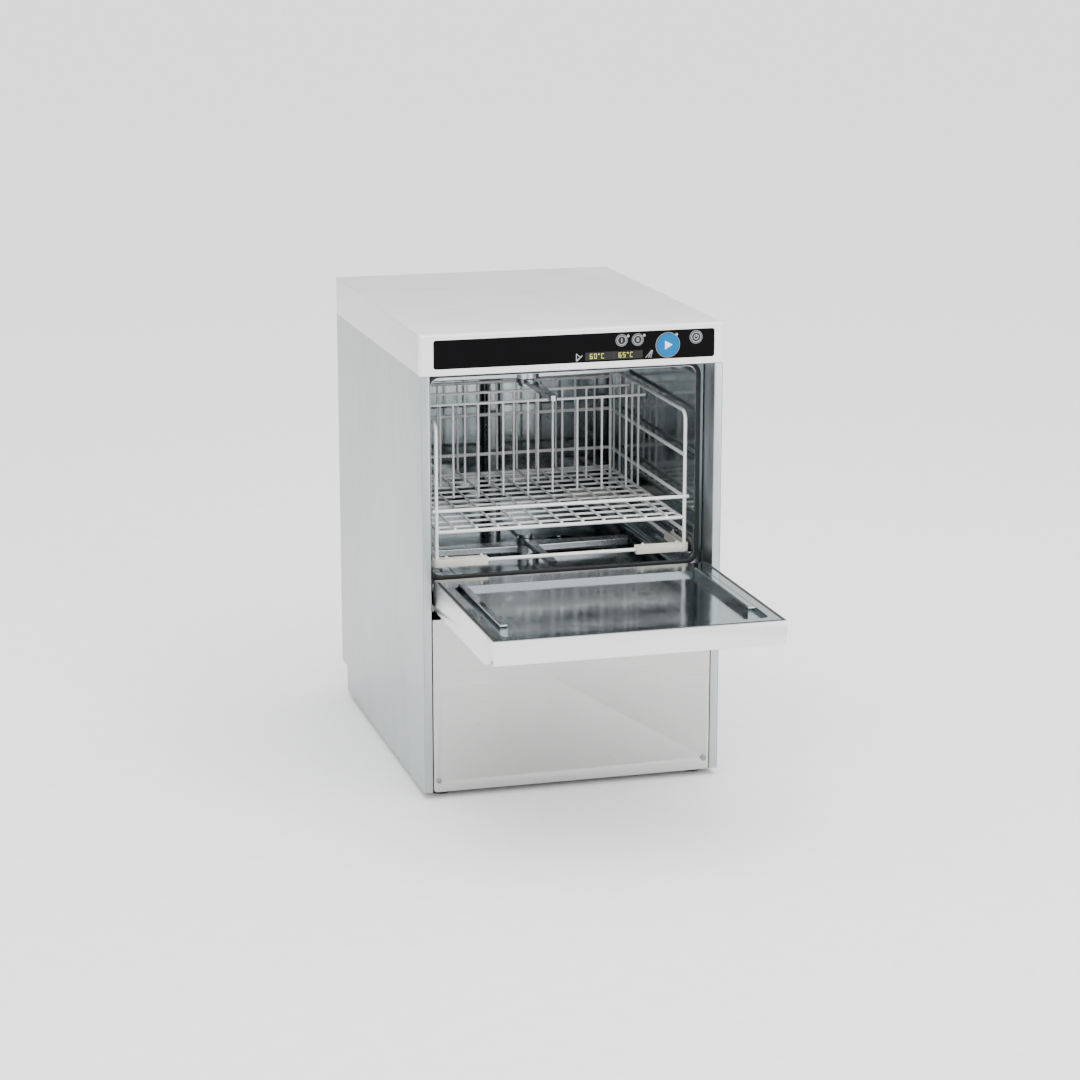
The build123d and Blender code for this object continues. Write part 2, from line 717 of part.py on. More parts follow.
def base_tray():
    x_half = HALF - SKIN - TOUCH_GAP
    z0 = BODY_Z + SKIN + TOUCH_GAP
    y0 = FRONT + BASE_INSET
    y1 = NOTCH_Y - TOUCH_GAP
    tray = sunk_box(-x_half, x_half, y0, y1, z0, z0 + BASE_UPSTAND, BASE_SKIN, "z+")
    y_post = FRONT + RETURN_DEPTH + 1
    for side in (-1, 1):
        tray -= span(side * (RETURN_X - 1), side * (HALF + 1), y0 - 1, y_post, z0 - 1, HEIGHT)
        tray += front_tab(side, y0, z0 + TAB_LIFT)
    for x_place, y_place in foot_places():
        tray -= rod_z(x_place, y_place, 0, z0 + BASE_UPSTAND, FOOT_STEM_R + PORT_GAP)
    y_port = NOTCH_Y - 10
    for x, radius in rear_ports():
        tray -= rod_y(x, REAR_PORT_Z, y_port, NOTCH_Y + 5, radius + PORT_GAP)
        tray -= span(x - radius, x + radius, y_port, NOTCH_Y + 5, REAR_PORT_Z, z0 + BASE_UPSTAND + 1)
    return tray


def front_tab(side, y_tray, z0):
    x1 = side * (RETURN_X - TAB_SETBACK)
    x0 = x1 - side * TAB_REACH
    y0 = FRONT + TAB_SETBACK
    tab = span(x0, x1, y0, y0 + BASE_SKIN, z0, z0 + TAB_HIGH)
    tab += span(x0, x1, y0, y_tray + BASE_SKIN, z0, z0 + BASE_SKIN)
    return tab - rod_y(side * SCREW_X, SCREW_Z, FRONT, y_tray, SCREW_SHAFT_R + 0.02)


def levelling_feet():
    feet = []
    seat = BODY_Z + SKIN + TOUCH_GAP + BASE_SKIN
    for x_place, y_place in foot_places():
        pad = Pos(x_place, y_place, FOOT_PAD / 2) * Cylinder(FOOT_R, FOOT_PAD)
        pad = fillet(pad.edges().sort_by(Axis.Z)[-1], FOOT_EDGE)
        stem = rod_z(x_place, y_place, FOOT_PAD - 1, FOOT_STEM_TOP, FOOT_STEM_R)
        nut_sketch = Pos(x_place, y_place, seat + TOUCH_GAP) * RegularPolygon(FOOT_NUT_R, 6)
        feet.append(pad + stem + extrude(nut_sketch, amount=FOOT_NUT_H))
    return Part() + feet


# ---------------------------------------------------------------- chamber
def chamber_block(grow):
    x_half = CHAMBER_HALF + grow
    y0 = FRAME_Y - (0 if grow else 2)
    block = span(-x_half, x_half, y0, CHAMBER_BACK + grow, CHAMBER_FLOOR - grow, CHAMBER_TOP + grow)
    return fillet(upright(block, Axis.Y), CHAMBER_CORNER + grow)


def sump_block(grow):
    x_half = SUMP_HALF_X + grow
    block = span(-x_half, x_half, SUMP_Y0 - grow, SUMP_Y1 + grow, SUMP_BOTTOM - grow, CHAMBER_FLOOR + 1)
    return fillet(upright(block), SUMP_CORNER + grow)


def front_frame():
    skin = CHAMBER_SKIN
    edge = CHAMBER_HALF + FRAME_EDGE
    z_head = HEAD_Z - 2 * TOUCH_GAP
    frame = span(-edge, edge, FRAME_Y - skin, FRAME_Y, FRAME_BOTTOM, z_head)
    return frame + span(-edge, edge, FRONT + FASCIA_DEPTH + 3, FRAME_Y, z_head - skin, z_head + TOUCH_GAP)


def wash_chamber():
    skin = CHAMBER_SKIN
    shell = chamber_block(skin) + sump_block(skin) + front_frame()
    mouth = span(-CHAMBER_HALF, CHAMBER_HALF, FRAME_Y - 3, FRAME_Y + 3, SILL_Z, CHAMBER_TOP)
    hollow = chamber_block(0) + sump_block(0)
    hollow -= span(-HALF, HALF, FRAME_Y - 5, FRAME_Y, 0, HEIGHT)
    shell -= hollow
    shell -= fillet(upright(mouth, Axis.Y), CHAMBER_CORNER)
    shell += span(-SILL_APRON, SILL_APRON, FRAME_Y - skin, FRAME_Y, CHAMBER_FLOOR - skin, FRAME_BOTTOM)
    shell -= rod_z(0, ARM_Y, SUMP_BOTTOM - 9, SUMP_BOTTOM + 9, MANIFOLD_R + TOUCH_GAP)
    shell -= rod_z(0, RISER_Y, CHAMBER_FLOOR - 9, CHAMBER_FLOOR + 9, RISER_R + TOUCH_GAP)
    shell -= rod_z(SUCTION_X, ARM_Y, SUMP_BOTTOM - 9, SUMP_BOTTOM + 9, HOSE_R + TOUCH_GAP)
    for z_place in (ELEMENT_Z, ELEMENT_Z + ELEMENT_RISE):
        shell -= rod_y(ELEMENT_X, z_place, SUMP_Y1 - 5, SUMP_Y1 + 5, ELEMENT_R + TOUCH_GAP)
    return seamed(shell, *frame_zones(), *wall_zones(), *floor_zones(), *sump_zones())


def side_zones(y0, y1, z_low):
    """Both side walls from y0 to y1: each has its foot, its flat part and its rounded top in two halves."""
    side = CHAMBER_HALF - CHAMBER_CORNER
    bend = side + 0.7 * CHAMBER_CORNER
    foot = z_low + CHAMBER_CORNER
    head = CHAMBER_TOP - CHAMBER_CORNER
    zones = []
    spans = ((side, FAR, 0, foot), (side, FAR, foot, head), (side, bend, head, FAR), (bend, FAR, head, FAR))
    for x0, x1, z0, z1 in spans:
        zones.append((x0, x1, y0, y1, z0, z1))
        zones.append((-x1, -x0, y0, y1, z0, z1))
    return zones


def frame_zones():
    side = CHAMBER_HALF - CHAMBER_CORNER
    middle = (SILL_Z + CHAMBER_TOP) / 2
    across = [(-side, side, -FAR, FRAME_Y, middle, FAR), (-side, side, -FAR, FRAME_Y, 0, middle)]
    return side_zones(-FAR, FRAME_Y, SILL_Z) + across


def wall_zones():
    side = CHAMBER_HALF - CHAMBER_CORNER
    middle = (SILL_Z + CHAMBER_TOP) / 2
    across = [(-side, side, FRAME_Y, CHAMBER_BACK, middle, FAR), (-FAR, FAR, CHAMBER_BACK, FAR, 0, FAR)]
    return side_zones(FRAME_Y, CHAMBER_BACK, CHAMBER_FLOOR) + across


def floor_zones():
    side = CHAMBER_HALF - CHAMBER_CORNER
    middle = (SILL_Z + CHAMBER_TOP) / 2
    edge = SUMP_HALF_X + CHAMBER_SKIN
    y0 = SUMP_Y0 - CHAMBER_SKIN
    y1 = SUMP_Y1 + CHAMBER_SKIN
    return [
        (-side, side, FRAME_Y, y0, 0, middle), (-side, side, y1, CHAMBER_BACK, 0, middle),
        (-side, -edge, y0, y1, 0, middle), (edge, side, y0, y1, 0, middle)]


def sump_zones():
    edge = SUMP_HALF_X + CHAMBER_SKIN
    inner = SUMP_HALF_X - SUMP_CORNER
    y0 = SUMP_Y0 - CHAMBER_SKIN
    y1 = SUMP_Y1 + CHAMBER_SKIN
    top = CHAMBER_FLOOR + SKIN
    return [
        (-edge, -inner, y0, y1, 0, top), (inner, edge, y0, y1, 0, top),
        (-inner, inner, y0, SUMP_Y0, 0, top), (-inner, inner, SUMP_Y1, y1, 0, top),
        (-inner, inner, SUMP_Y0, SUMP_Y1, 0, SUMP_BOTTOM)]


def door_seal():
    x1 = CHAMBER_HALF + SEAL_INSET
    y1 = FRAME_Y - CHAMBER_SKIN - TOUCH_GAP
    z0 = SILL_Z - SEAL_INSET
    z1 = CHAMBER_TOP + SEAL_INSET
    width = SEAL_WIDTH
    inner = span(-x1, x1, y1 - 10, y1 + 5, z0, z1)
    outer = span(-x1 - width, x1 + width, y1 - SEAL_THICK, y1, z0 - width, z1 + width)
    outer = fillet(upright(outer, Axis.Y), CHAMBER_CORNER + width)
    ring = outer - fillet(upright(inner, Axis.Y), CHAMBER_CORNER)
    lip = ring.faces().sort_by(Axis.Y)[0].edges()
    return fillet(lip, SEAL_EDGE)


def rack_rail():
    y0 = FRAME_Y + RAIL_FRONT_GAP
    y1 = CHAMBER_BACK - 1
    x1 = CHAMBER_HALF - 0.1
    z1 = RACK_REST_Z - MOVE_GAP
    rail = span(x1 - RAIL_SKIN, x1, y0, y1, z1 - RAIL_SKIN, z1 + RAIL_UPRIGHT)
    rail += span(x1 - RAIL_SHELF, x1, y0, y1, z1 - RAIL_SKIN, z1)
    return rail + span(x1 - RAIL_SHELF, x1 - RAIL_SHELF + RAIL_SKIN, y0, y1, z1 - RAIL_LIP, z1)


def rack_rails():
    return both_sides(rack_rail())


def hinge_bracket():
    x1 = RETURN_X
    x0 = x1 - BRACKET_THICK
    y0 = HINGE_Y
    y1 = FRONT + RETURN_DEPTH - 2
    z0 = HINGE_Z - PIN_BOSS_R
    plate = span(x0, x1, y0, y1, z0, z0 + BRACKET_HIGH)
    plate -= span(x0 - 1, x1 + 1, y0 - 1, y0 + BRACKET_STEP, HINGE_Z + PIN_BOSS_R, z0 + BRACKET_HIGH + 1)
    plate += rod_x(HINGE_Y, HINGE_Z, x0, x1, PIN_BOSS_R)
    return plate - rod_x(HINGE_Y, HINGE_Z, x0 - 1, x1 + 1, PIN_R + RUN_GAP)


def hinge_brackets():
    return both_sides(hinge_bracket())


# ---------------------------------------------------------------- spray system
def arm_post(z_seat, way):
    z1 = z_seat + way * (ARM_HIGH + 2 * MOVE_GAP)
    z2 = z1 + way * (RINSE_HIGH + 2 * MOVE_GAP)
    post = rod_z(0, ARM_Y, z_seat, z1, POST_R) + rod_z(0, ARM_Y, z1, z2, POST_NECK_R)
    nut = rod_z(0, ARM_Y, z2, z2 + way * POST_NUT_H, POST_NUT_R)
    return post + fillet(nut.edges(), POST_NUT_EDGE)


def wash_arm(z_seat, way):
    z0 = z_seat + way * MOVE_GAP
    z1 = z0 + way * ARM_HIGH
    low = min(z0, z1)
    tip = ARM_RADIUS - ARM_TIP_WIDE / 2
    outline = make_hull([
        *(Pos(0, 0) * Circle(ARM_ROOT_WIDE / 2)).edges(),
        *(Pos(tip, 0) * Circle(ARM_TIP_WIDE / 2)).edges(),
        *(Pos(-tip, 0) * Circle(ARM_TIP_WIDE / 2)).edges()])
    arm = Pos(0, ARM_Y, low) * extrude(outline, amount=ARM_HIGH)
    arm = fillet(arm.edges().filter_by(Plane.XY), ARM_EDGE)
    arm += rod_z(0, ARM_Y, low, low + ARM_HIGH, ARM_HUB_R)
    arm -= rod_z(0, ARM_Y, low - 1, low + ARM_HIGH + 1, POST_R + RUN_GAP)
    step = (tip - ARM_HUB_R) / NOZZLES
    for index in range(NOZZLES):
        reach = ARM_HUB_R + step * (index + 0.7)
        for side in (-1, 1):
            arm -= rod_z(side * reach, ARM_Y, (z0 + z1) / 2, z1 + way, NOZZLE_R)
    return arm


def rinse_arm(z_seat, way):
    z0 = z_seat + way * (ARM_HIGH + 3 * MOVE_GAP)
    z1 = z0 + way * RINSE_HIGH
    low = min(z0, z1)
    bar = Pos(0, ARM_Y, low + RINSE_HIGH / 2) * Box(RINSE_WIDE, 2 * RINSE_RADIUS, RINSE_HIGH)
    bar = fillet(upright(bar), RINSE_WIDE / 2 - 0.2)
    bar += rod_z(0, ARM_Y, low, low + RINSE_HIGH, RINSE_HUB_R)
    bar -= rod_z(0, ARM_Y, low - 1, low + RINSE_HIGH + 1, POST_NECK_R + RUN_GAP)
    step = (RINSE_RADIUS - RINSE_HUB_R) / (NOZZLES + 1)
    for index in range(NOZZLES + 1):
        reach = RINSE_HUB_R + step * (index + 0.6)
        for side in (-1, 1):
            bar -= rod_z(0, ARM_Y + side * reach, (z0 + z1) / 2, z1 + way, NOZZLE_R / 2)
    return bar


def wash_manifold():
    z_seat = LOWER_SEAT_Z
    z_end = CHAMBER_FLOOR - CHAMBER_SKIN - 2
    z_branch = MANIFOLD_Z + RISER_R + 1
    pipe = tube((0, ARM_Y, MANIFOLD_Z), (0, ARM_Y, z_seat), MANIFOLD_R, MANIFOLD_R - PIPE_WALL)
    pipe += rod_z(0, ARM_Y, z_seat - 6, z_seat, MANIFOLD_R)
    route = [(0, ARM_Y, z_branch), (0, RISER_Y, z_branch), (0, RISER_Y, z_end)]
    branch = bent_tube(route, RISER_R, RISER_R - PIPE_WALL, BRANCH_BEND)
    pipe += branch - rod_z(0, ARM_Y, 0, HEIGHT, MANIFOLD_R - 1)
    near = ARM_Y + MANIFOLD_R + 1
    bend_y = RISER_Y - RISER_R - 18
    bend_z = z_branch + RISER_R + 18
    post_zone = (-FAR, FAR, -FAR, near, 0, FAR)
    level_zone = (-FAR, FAR, near, FAR, 0, bend_z)
    rising_zone = (-FAR, FAR, bend_y, FAR, bend_z, FAR)
    return seamed(pipe + arm_post(z_seat, 1), post_zone, level_zone, rising_zone)


def riser_pipe():
    z0 = CHAMBER_FLOOR - CHAMBER_SKIN - 2 + 2 * TOUCH_GAP
    route = [(0, RISER_Y, z0), (0, RISER_Y, RISER_TOP), (0, ARM_Y, RISER_TOP)]
    pipe = bent_tube(route, RISER_R, RISER_R - PIPE_WALL, RISER_BEND)
    z_seat = UPPER_SEAT_Z
    pipe += rod_z(0, ARM_Y, z_seat, RISER_TOP + RISER_R, MANIFOLD_R) + arm_post(z_seat, -1)
    near = ARM_Y + MANIFOLD_R + 1
    bend_z = RISER_TOP - RISER_R - 15
    post_zone = (-FAR, FAR, -FAR, near, 0, FAR)
    level_zone = (-FAR, FAR, near, FAR, bend_z, FAR)
    rising_zone = (-FAR, FAR, near, FAR, 0, bend_z)
    return seamed(pipe + riser_clips(), post_zone, level_zone, rising_zone)


def riser_clips():
    clips = []
    step = (RISER_TOP - CHAMBER_FLOOR) / (CLIPS + 1)
    for index in range(CLIPS):
        z0 = CHAMBER_FLOOR + step * (index + 1)
        clips.append(span(-CLIP_HALF, CLIP_HALF, RISER_Y, CHAMBER_BACK - TOUCH_GAP, z0, z0 + CLIP_HIGH))
    return Part() + clips - rod_z(0, RISER_Y, 0, HEIGHT, RISER_R - 1)


def tank_filter():
    grow = FILTER_OVERLAP
    z0 = CHAMBER_FLOOR + TOUCH_GAP
    x_half = SUMP_HALF_X + grow
    plate = span(-x_half, x_half, SUMP_Y0 - grow, SUMP_Y1 + grow, z0, z0 + FILTER_SKIN)
    plate = fillet(upright(plate), SUMP_CORNER)
    plate -= rod_z(0, ARM_Y, z0 - 1, z0 + 3, MANIFOLD_R + FILTER_GAP)
    return plate - rod_z(BASKET_X, ARM_Y + BASKET_Y, z0 - 1, z0 + 3, BASKET_R + FILTER_GAP)


def filter_basket():
    x = BASKET_X
    y = ARM_Y + BASKET_Y
    z1 = CHAMBER_FLOOR + TOUCH_GAP + FILTER_SKIN
    z0 = z1 - BASKET_DEEP
    top = z1 + BASKET_RIM / 2
    bore = BASKET_R - FILTER_SKIN
    cup = tube((x, y, z0), (x, y, top), BASKET_R, bore) + rod_z(x, y, z0, z0 + FILTER_SKIN, BASKET_R)
    cup += tube((x, y, z1 + TOUCH_GAP), (x, y, top), BASKET_R + BASKET_RIM, bore)
    return cup + span(x - BASKET_RIM, x + BASKET_RIM, y - BASKET_R, y + BASKET_R, z1 - BASKET_RIM, z1 + 1)


def tank_heating_element():
    y0 = SUMP_Y0 + 30
    y1 = SUMP_Y1 + 8
    upper = ELEMENT_Z + ELEMENT_RISE
    ends = [(y1, ELEMENT_Z), (y0, ELEMENT_Z), (y0, upper), (y1, upper)]
    loop = bent_rod([(ELEMENT_X, y, z) for y, z in ends], ELEMENT_R, ELEMENT_BEND)
    half, reach, thick = ELEMENT_FLANGE
    y_seat = SUMP_Y1 + CHAMBER_SKIN + TOUCH_GAP
    x = ELEMENT_X
    return loop + span(x - half, x + half, y_seat, y_seat + thick, ELEMENT_Z - reach, upper + reach)


# ---------------------------------------------------------------- machine compartment
def wash_pump_housing():
    x1 = PUMP_X + PUMP_WIDE
    body = fillet(rod_x(ARM_Y, PUMP_Z, PUMP_X, x1, PUMP_R).edges(), PUMP_EDGE)
    x, y = pump_outlet()
    z_outlet = PUMP_Z + PUMP_R + PUMP_PORT_R
    hollow = PUMP_HOLLOW
    body += rod_z(x, y, PUMP_Z, z_outlet, PUMP_PORT_R)
    body += rod_x(ARM_Y, PUMP_Z, x1 - 2, x1 + PUMP_PORT_LONG, PUMP_PORT_R)
    x_in = PUMP_X + PUMP_WALL
    body -= span(x_in, x1 - PUMP_WALL, ARM_Y - hollow, ARM_Y + hollow, PUMP_Z - hollow, PUMP_Z + hollow)
    body -= rod_z(x, y, PUMP_Z, z_outlet + 2, PUMP_PORT_BORE)
    return body - rod_x(ARM_Y, PUMP_Z, x1 - 6, x1 + PUMP_PORT_LONG + 1, PUMP_PORT_BORE)


def pump_outlet():
    return PUMP_X + PUMP_WIDE / 2, ARM_Y - PUMP_OUTLET_SHIFT


def wash_pump_motor():
    x1 = PUMP_X - TOUCH_GAP
    x0 = x1 - MOTOR_LONG
    motor = rod_x(ARM_Y, PUMP_Z, x0, x1, MOTOR_R)
    motor = fillet(motor.faces().sort_by(Axis.X)[0].edges(), MOTOR_EDGE)
    for index in range(MOTOR_FINS):
        x_groove = x0 + 20 + index * FIN_PITCH
        ends = [(x_groove, ARM_Y, PUMP_Z), (x_groove + FIN_GROOVE, ARM_Y, PUMP_Z)]
        motor -= tube(*ends, MOTOR_R + 1, MOTOR_R - 3)
    shift, inset, thick = MOTOR_FOOT
    z0 = BASE_TOP + thick
    for y in (ARM_Y - shift, ARM_Y + shift):
        motor += span(x0 + 20, x1 - 20, y - WIRING_LEG, y + WIRING_LEG, z0, PUMP_Z - 20)
    return motor + span(x0 + inset, x1 - inset, ARM_Y - MOTOR_R, ARM_Y + MOTOR_R, BASE_TOP, z0)


def suction_hose():
    x_pump = PUMP_X + PUMP_WIDE + PUMP_PORT_LONG + TOUCH_GAP
    route = [(x_pump, ARM_Y, PUMP_Z), (SUCTION_X, ARM_Y, PUMP_Z), (SUCTION_X, ARM_Y, SUMP_BOTTOM + 2)]
    return bent_tube(route, HOSE_R, HOSE_BORE, SUCTION_BEND)


def pressure_hose():
    x, y = pump_outlet()
    z0 = PUMP_Z + PUMP_R + PUMP_PORT_R + TOUCH_GAP
    z1 = MANIFOLD_Z + PRESSURE_HOSE_R - 2
    hose = rod_z(x, y, z0, z1 + PRESSURE_HOSE_R, PRESSURE_HOSE_R + 1)
    hose += rod_x(y, z1, 0, x, PRESSURE_HOSE_R)
    hose += rod_y(0, z1, y, ARM_Y - MANIFOLD_R - 0.1, PRESSURE_HOSE_R)
    return hose - rod_z(0, ARM_Y, 0, HEIGHT, MANIFOLD_R + TOUCH_GAP)


def drain_pump():
    x = DRAIN_X
    z = DRAIN_PUMP_Z
    y0 = DRAIN_PUMP_Y
    pump = fillet(rod_y(x, z, y0, y0 + DRAIN_PUMP_LONG, DRAIN_PUMP_R).edges(), 3)
    pump += span(x - 22, x + 22, y0 - 46, y0 + 4, z - 22, z + 22)
    return pump + span(x - 30, x + 30, y0 - 30, y0 + 40, BASE_TOP, z - 26)


def drain_hose():
    y0 = DRAIN_PUMP_Y + DRAIN_PUMP_LONG
    y1 = NOTCH_Y - 10 - TOUCH_GAP
    places = [(y0 + TOUCH_GAP, DRAIN_PUMP_Z), (y0 + 30, DRAIN_PUMP_Z)]
    places += [(y1 - 28, REAR_PORT_Z), (y1, REAR_PORT_Z)]
    return bent_tube([(DRAIN_X, y, z) for y, z in places], HOSE_R, HOSE_BORE, 10)


def port_tube(x, y0, y1, radius, bore, flange_r):
    ends = [(x, NOTCH_Y - y0, REAR_PORT_Z), (x, NOTCH_Y + y1, REAR_PORT_Z)]
    y_flange = NOTCH_Y + SKIN + TOUCH_GAP
    flange = [(x, y_flange, REAR_PORT_Z), (x, y_flange + PORT_FLANGE, REAR_PORT_Z)]
    return tube(*ends, radius, bore) + tube(*flange, flange_r, bore)


def drain_spigot():
    return port_tube(DRAIN_X, 10, SPIGOT_LONG, DRAIN_SPIGOT_R, DRAIN_BORE_R, DRAIN_SPIGOT_R + 5)


def water_inlet_valve():
    x = INLET_X
    z = REAR_PORT_Z
    y = NOTCH_Y
    thread = port_tube(x, 12, INLET_LONG, INLET_THREAD_R, INLET_BORE_R, INLET_THREAD_R + 3.8)
    body = span(x - 16, x + 16, y - 52, y - 12, BASE_TOP + 1, z + 16)
    coil = span(x - 13, x + 13, y - 48, y - 18, z + 16, z + 50)
    return thread + body + fillet(upright(coil), 3) + rod_z(x, y - 33, z + 50, z + INLET_TALL, 6)


def cable_gland():
    y0 = NOTCH_Y + SKIN + TOUCH_GAP
    hexagon = Plane((GLAND_X, y0, REAR_PORT_Z), z_dir=(0, 1, 0)) * RegularPolygon(GLAND_R + 1, 6)
    gland = extrude(hexagon, amount=7)
    gland += rod_y(GLAND_X, REAR_PORT_Z, y0 + 7, y0 + 20, GLAND_R - 2)
    gland += rod_y(GLAND_X, REAR_PORT_Z, NOTCH_Y - 8, y0, GLAND_R - 2)
    return gland - rod_y(GLAND_X, REAR_PORT_Z, NOTCH_Y - 9, y0 + 21, GLAND_BORE_R)


def rinse_booster():
    x = BOOSTER_X
    y = BOOSTER_Y
    wall = BOOSTER_WALL
    top = BOOSTER_Z + BOOSTER_TALL
    tank = fillet(rod_z(x, y, BOOSTER_Z, top, BOOSTER_R).edges(), BOOSTER_EDGE)
    tank -= rod_z(x, y, BOOSTER_Z + wall, top - wall, BOOSTER_R - wall)
    return tank + rod_z(x, y, top - 2, top + BOOSTER_SPOUT[1], BOOSTER_SPOUT[0])


def booster_heating_element():
    z0 = BOOSTER_Z - 2 * TOUCH_GAP
    flange = rod_z(BOOSTER_X, BOOSTER_Y, z0 - 6, z0, BOOSTER_FLANGE_R)
    for turn in range(3):
        spot = Vector(BOOSTER_FLANGE_R / 2, 0).rotate(Axis.Z, 120 * turn)
        flange += rod_z(BOOSTER_X + spot.X, BOOSTER_Y + spot.Y, z0 - 20, z0 - 6, 2.5)
    return flange


def air_break_tank():
    wall = BREAK_TANK_WALL
    neck_r, neck = BREAK_TANK_NECK
    x0 = BREAK_TANK_X
    x1 = x0 + BREAK_TANK_WIDE
    y0 = CHAMBER_BACK + REAR_GAP
    y1 = y0 + BREAK_TANK_DEEP
    z0 = BREAK_TANK_Z
    z1 = z0 + BREAK_TANK_TALL
    tank = fillet(span(x0, x1, y0, y1, z0, z1).edges(), 8)
    tank -= span(x0 + wall, x1 - wall, y0 + wall, y1 - wall, z0 + wall, z1 - wall)
    tank += rod_z(INLET_X, y0 + 40, z0 - neck, z0 + 1, neck_r)
    return tank + span(x0 + 10, x1 - 10, y1 - 1, BACK - SKIN - TOUCH_GAP, z1 - 30, z1 - 20)


def fill_hose():
    x = INLET_X
    y0 = NOTCH_Y - 33
    y1 = CHAMBER_BACK + REAR_GAP + 40
    z0 = REAR_PORT_Z + INLET_TALL + TOUCH_GAP
    z1 = BREAK_TANK_Z - BREAK_TANK_NECK[1]
    route = [(x, y0, z0), (x, y0, z1 - 124), (x, y1, z1 - 44), (x, y1, z1 - TOUCH_GAP)]
    return bent_tube(route, THIN_HOSE_R, THIN_HOSE_BORE, 30)


def rinse_hose():
    x = BOOSTER_X
    y = BOOSTER_Y
    z0 = BOOSTER_Z + BOOSTER_TALL + BOOSTER_SPOUT[1] + TOUCH_GAP
    z1 = z0 + RINSE_HOSE_RISE
    y_end = CHAMBER_BACK + CHAMBER_SKIN + TOUCH_GAP
    route = [(x, y, z0), (x, y, z1), (RINSE_ENTRY_X, y, z1), (RINSE_ENTRY_X, y_end, z1)]
    return bent_tube(route, THIN_HOSE_R, THIN_HOSE_BORE, 20)


def dosing_bracket():
    x0 = -HALF + DOSING_SIDE
    x1 = -DOSING_SIDE
    y0 = FRONT + DOSING_SETBACK
    y1 = y0 + DOSING_SKIN
    plate = span(x0, x1, y0, y1, BASE_TOP, DOSING_TALL)
    return plate + span(x0, x1, y1, y0 + DOSING_FOOT, BASE_TOP, BASE_TOP + DOSING_SKIN)


def dosing_pump(x_place):
    wide, deep, tall = DOSING_CASE
    z0 = DOSING_CASE_Z
    y1 = FRONT + DOSING_SETBACK - TOUCH_GAP
    y0 = y1 - deep
    case = fillet(upright(span(x_place - wide / 2, x_place + wide / 2, y0, y1, z0, z0 + tall), Axis.Y), 6)
    head = rod_y(x_place, z0 + 36, y0, y0 - DOSING_HEAD_DEEP, DOSING_HEAD_R)
    head = fillet(head.faces().sort_by(Axis.Y)[0].edges(), 2)
    shift, radius = DOSING_PORT
    for x in (x_place - shift, x_place + shift):
        case += rod_z(x, y1 - 20, z0 - 10, z0 + 2, radius)
    return case + head


def terminal_block():
    x0 = -HALF + WIRING_SIDE
    y0 = NOTCH_Y - TERMINAL_SETBACK
    wide, long, tall = TERMINAL_SIZE
    block = span(x0, x0 + wide, y0, y0 + long, WIRING_Z, WIRING_Z + tall)
    for index in range(TERMINALS):
        y_slot = y0 + 8 + index * TERMINAL_PITCH
        block -= span(x0 + 8, x0 + wide + 6, y_slot, y_slot + 10, WIRING_Z + tall - 12, WIRING_Z + tall + 4)
    return block + span(x0 + 16, x0 + 16 + WIRING_LEG, y0 + 10, y0 + long - 10, BASE_TOP, WIRING_Z + 1)


def contactor():
    x0 = -HALF + WIRING_SIDE
    y0 = NOTCH_Y - CONTACTOR_SETBACK
    wide, long, tall = CONTACTOR_SIZE
    box = span(x0, x0 + wide, y0, y0 + long, WIRING_Z, WIRING_Z + tall)
    box = fillet(upright(box, Axis.X), 3)
    return box + span(x0 + 38, x0 + 38 + WIRING_LEG, y0 + 10, y0 + long - 8, BASE_TOP, WIRING_Z + 1)


# ---------------------------------------------------------------- door (drawn shut, then turned open)
def door_profile():
    notch_z = DOOR_TOP - HANDLE_LENGTH
    y_in = FRONT + CHANNEL_DEPTH
    return [
        (FRONT, DOOR_BOTTOM), (FRONT, notch_z), (y_in - 2, notch_z + HANDLE_SLANT), (y_in, DOOR_TOP),
        (DOOR_INNER - LINER_SKIN - TOUCH_GAP, DOOR_TOP), (DOOR_INNER - LINER_SKIN - TOUCH_GAP, DOOR_BOTTOM)]


def door_solid(half):
    face = Plane.YZ * make_face(Polyline(*door_profile(), close=True))
    block = Pos(-half, 0, 0) * extrude(face, amount=2 * half, dir=(1, 0, 0))
    front_edges = [e for e in upright(block, Axis.X) if e.center().Y < FRONT + 1]
    knuckle = [e for e in front_edges if e.center().Z < DOOR_BOTTOM + 1]
    return fillet(knuckle, HINGE_IN - 0.01)


def door_outer_panel():
    t = DOOR_SKIN
    shell = door_solid(DOOR_HALF)
    inner = offset(door_solid(DOOR_HALF), amount=-t)
    liner_face = DOOR_INNER - LINER_SKIN
    half = DOOR_HALF - t
    shell -= inner
    shell -= span(-half, half, liner_face - 3 * t, liner_face + 1, DOOR_BOTTOM + t, DOOR_TOP - t)
    y_lip = DOOR_INNER - LINER_SKIN - TOUCH_GAP - LIP_DEPTH
    lip = span(-DOOR_HALF, DOOR_HALF, y_lip, FRONT + CHANNEL_DEPTH + t, DOOR_TOP - t, DOOR_TOP)
    z_hook = DOOR_TOP - HOOK_LENGTH
    lip += span(-DOOR_HALF, DOOR_HALF, y_lip, y_lip + t, z_hook, DOOR_TOP)
    lip += span(-DOOR_HALF, DOOR_HALF, y_lip, y_lip + HOOK_TURN, z_hook, z_hook + t)
    shell += lip
    shell -= rod_x(HINGE_Y, HINGE_Z, -HALF, HALF, PIN_R + 0.01)
    pan_z = DOOR_TOP - HANDLE_LENGTH + HANDLE_SLANT + 2 * t
    lip_z = DOOR_TOP - t
    web_y = FRONT + CHANNEL_DEPTH - 2 * t
    shell = seamed(
        shell, (-FAR, FAR, -FAR, FAR, 0, pan_z), (-FAR, FAR, web_y, FAR, pan_z, lip_z),
        (-FAR, FAR, -FAR, FAR, lip_z, FAR), (-FAR, FAR, -FAR, web_y, pan_z, lip_z))
    return opened(shell)


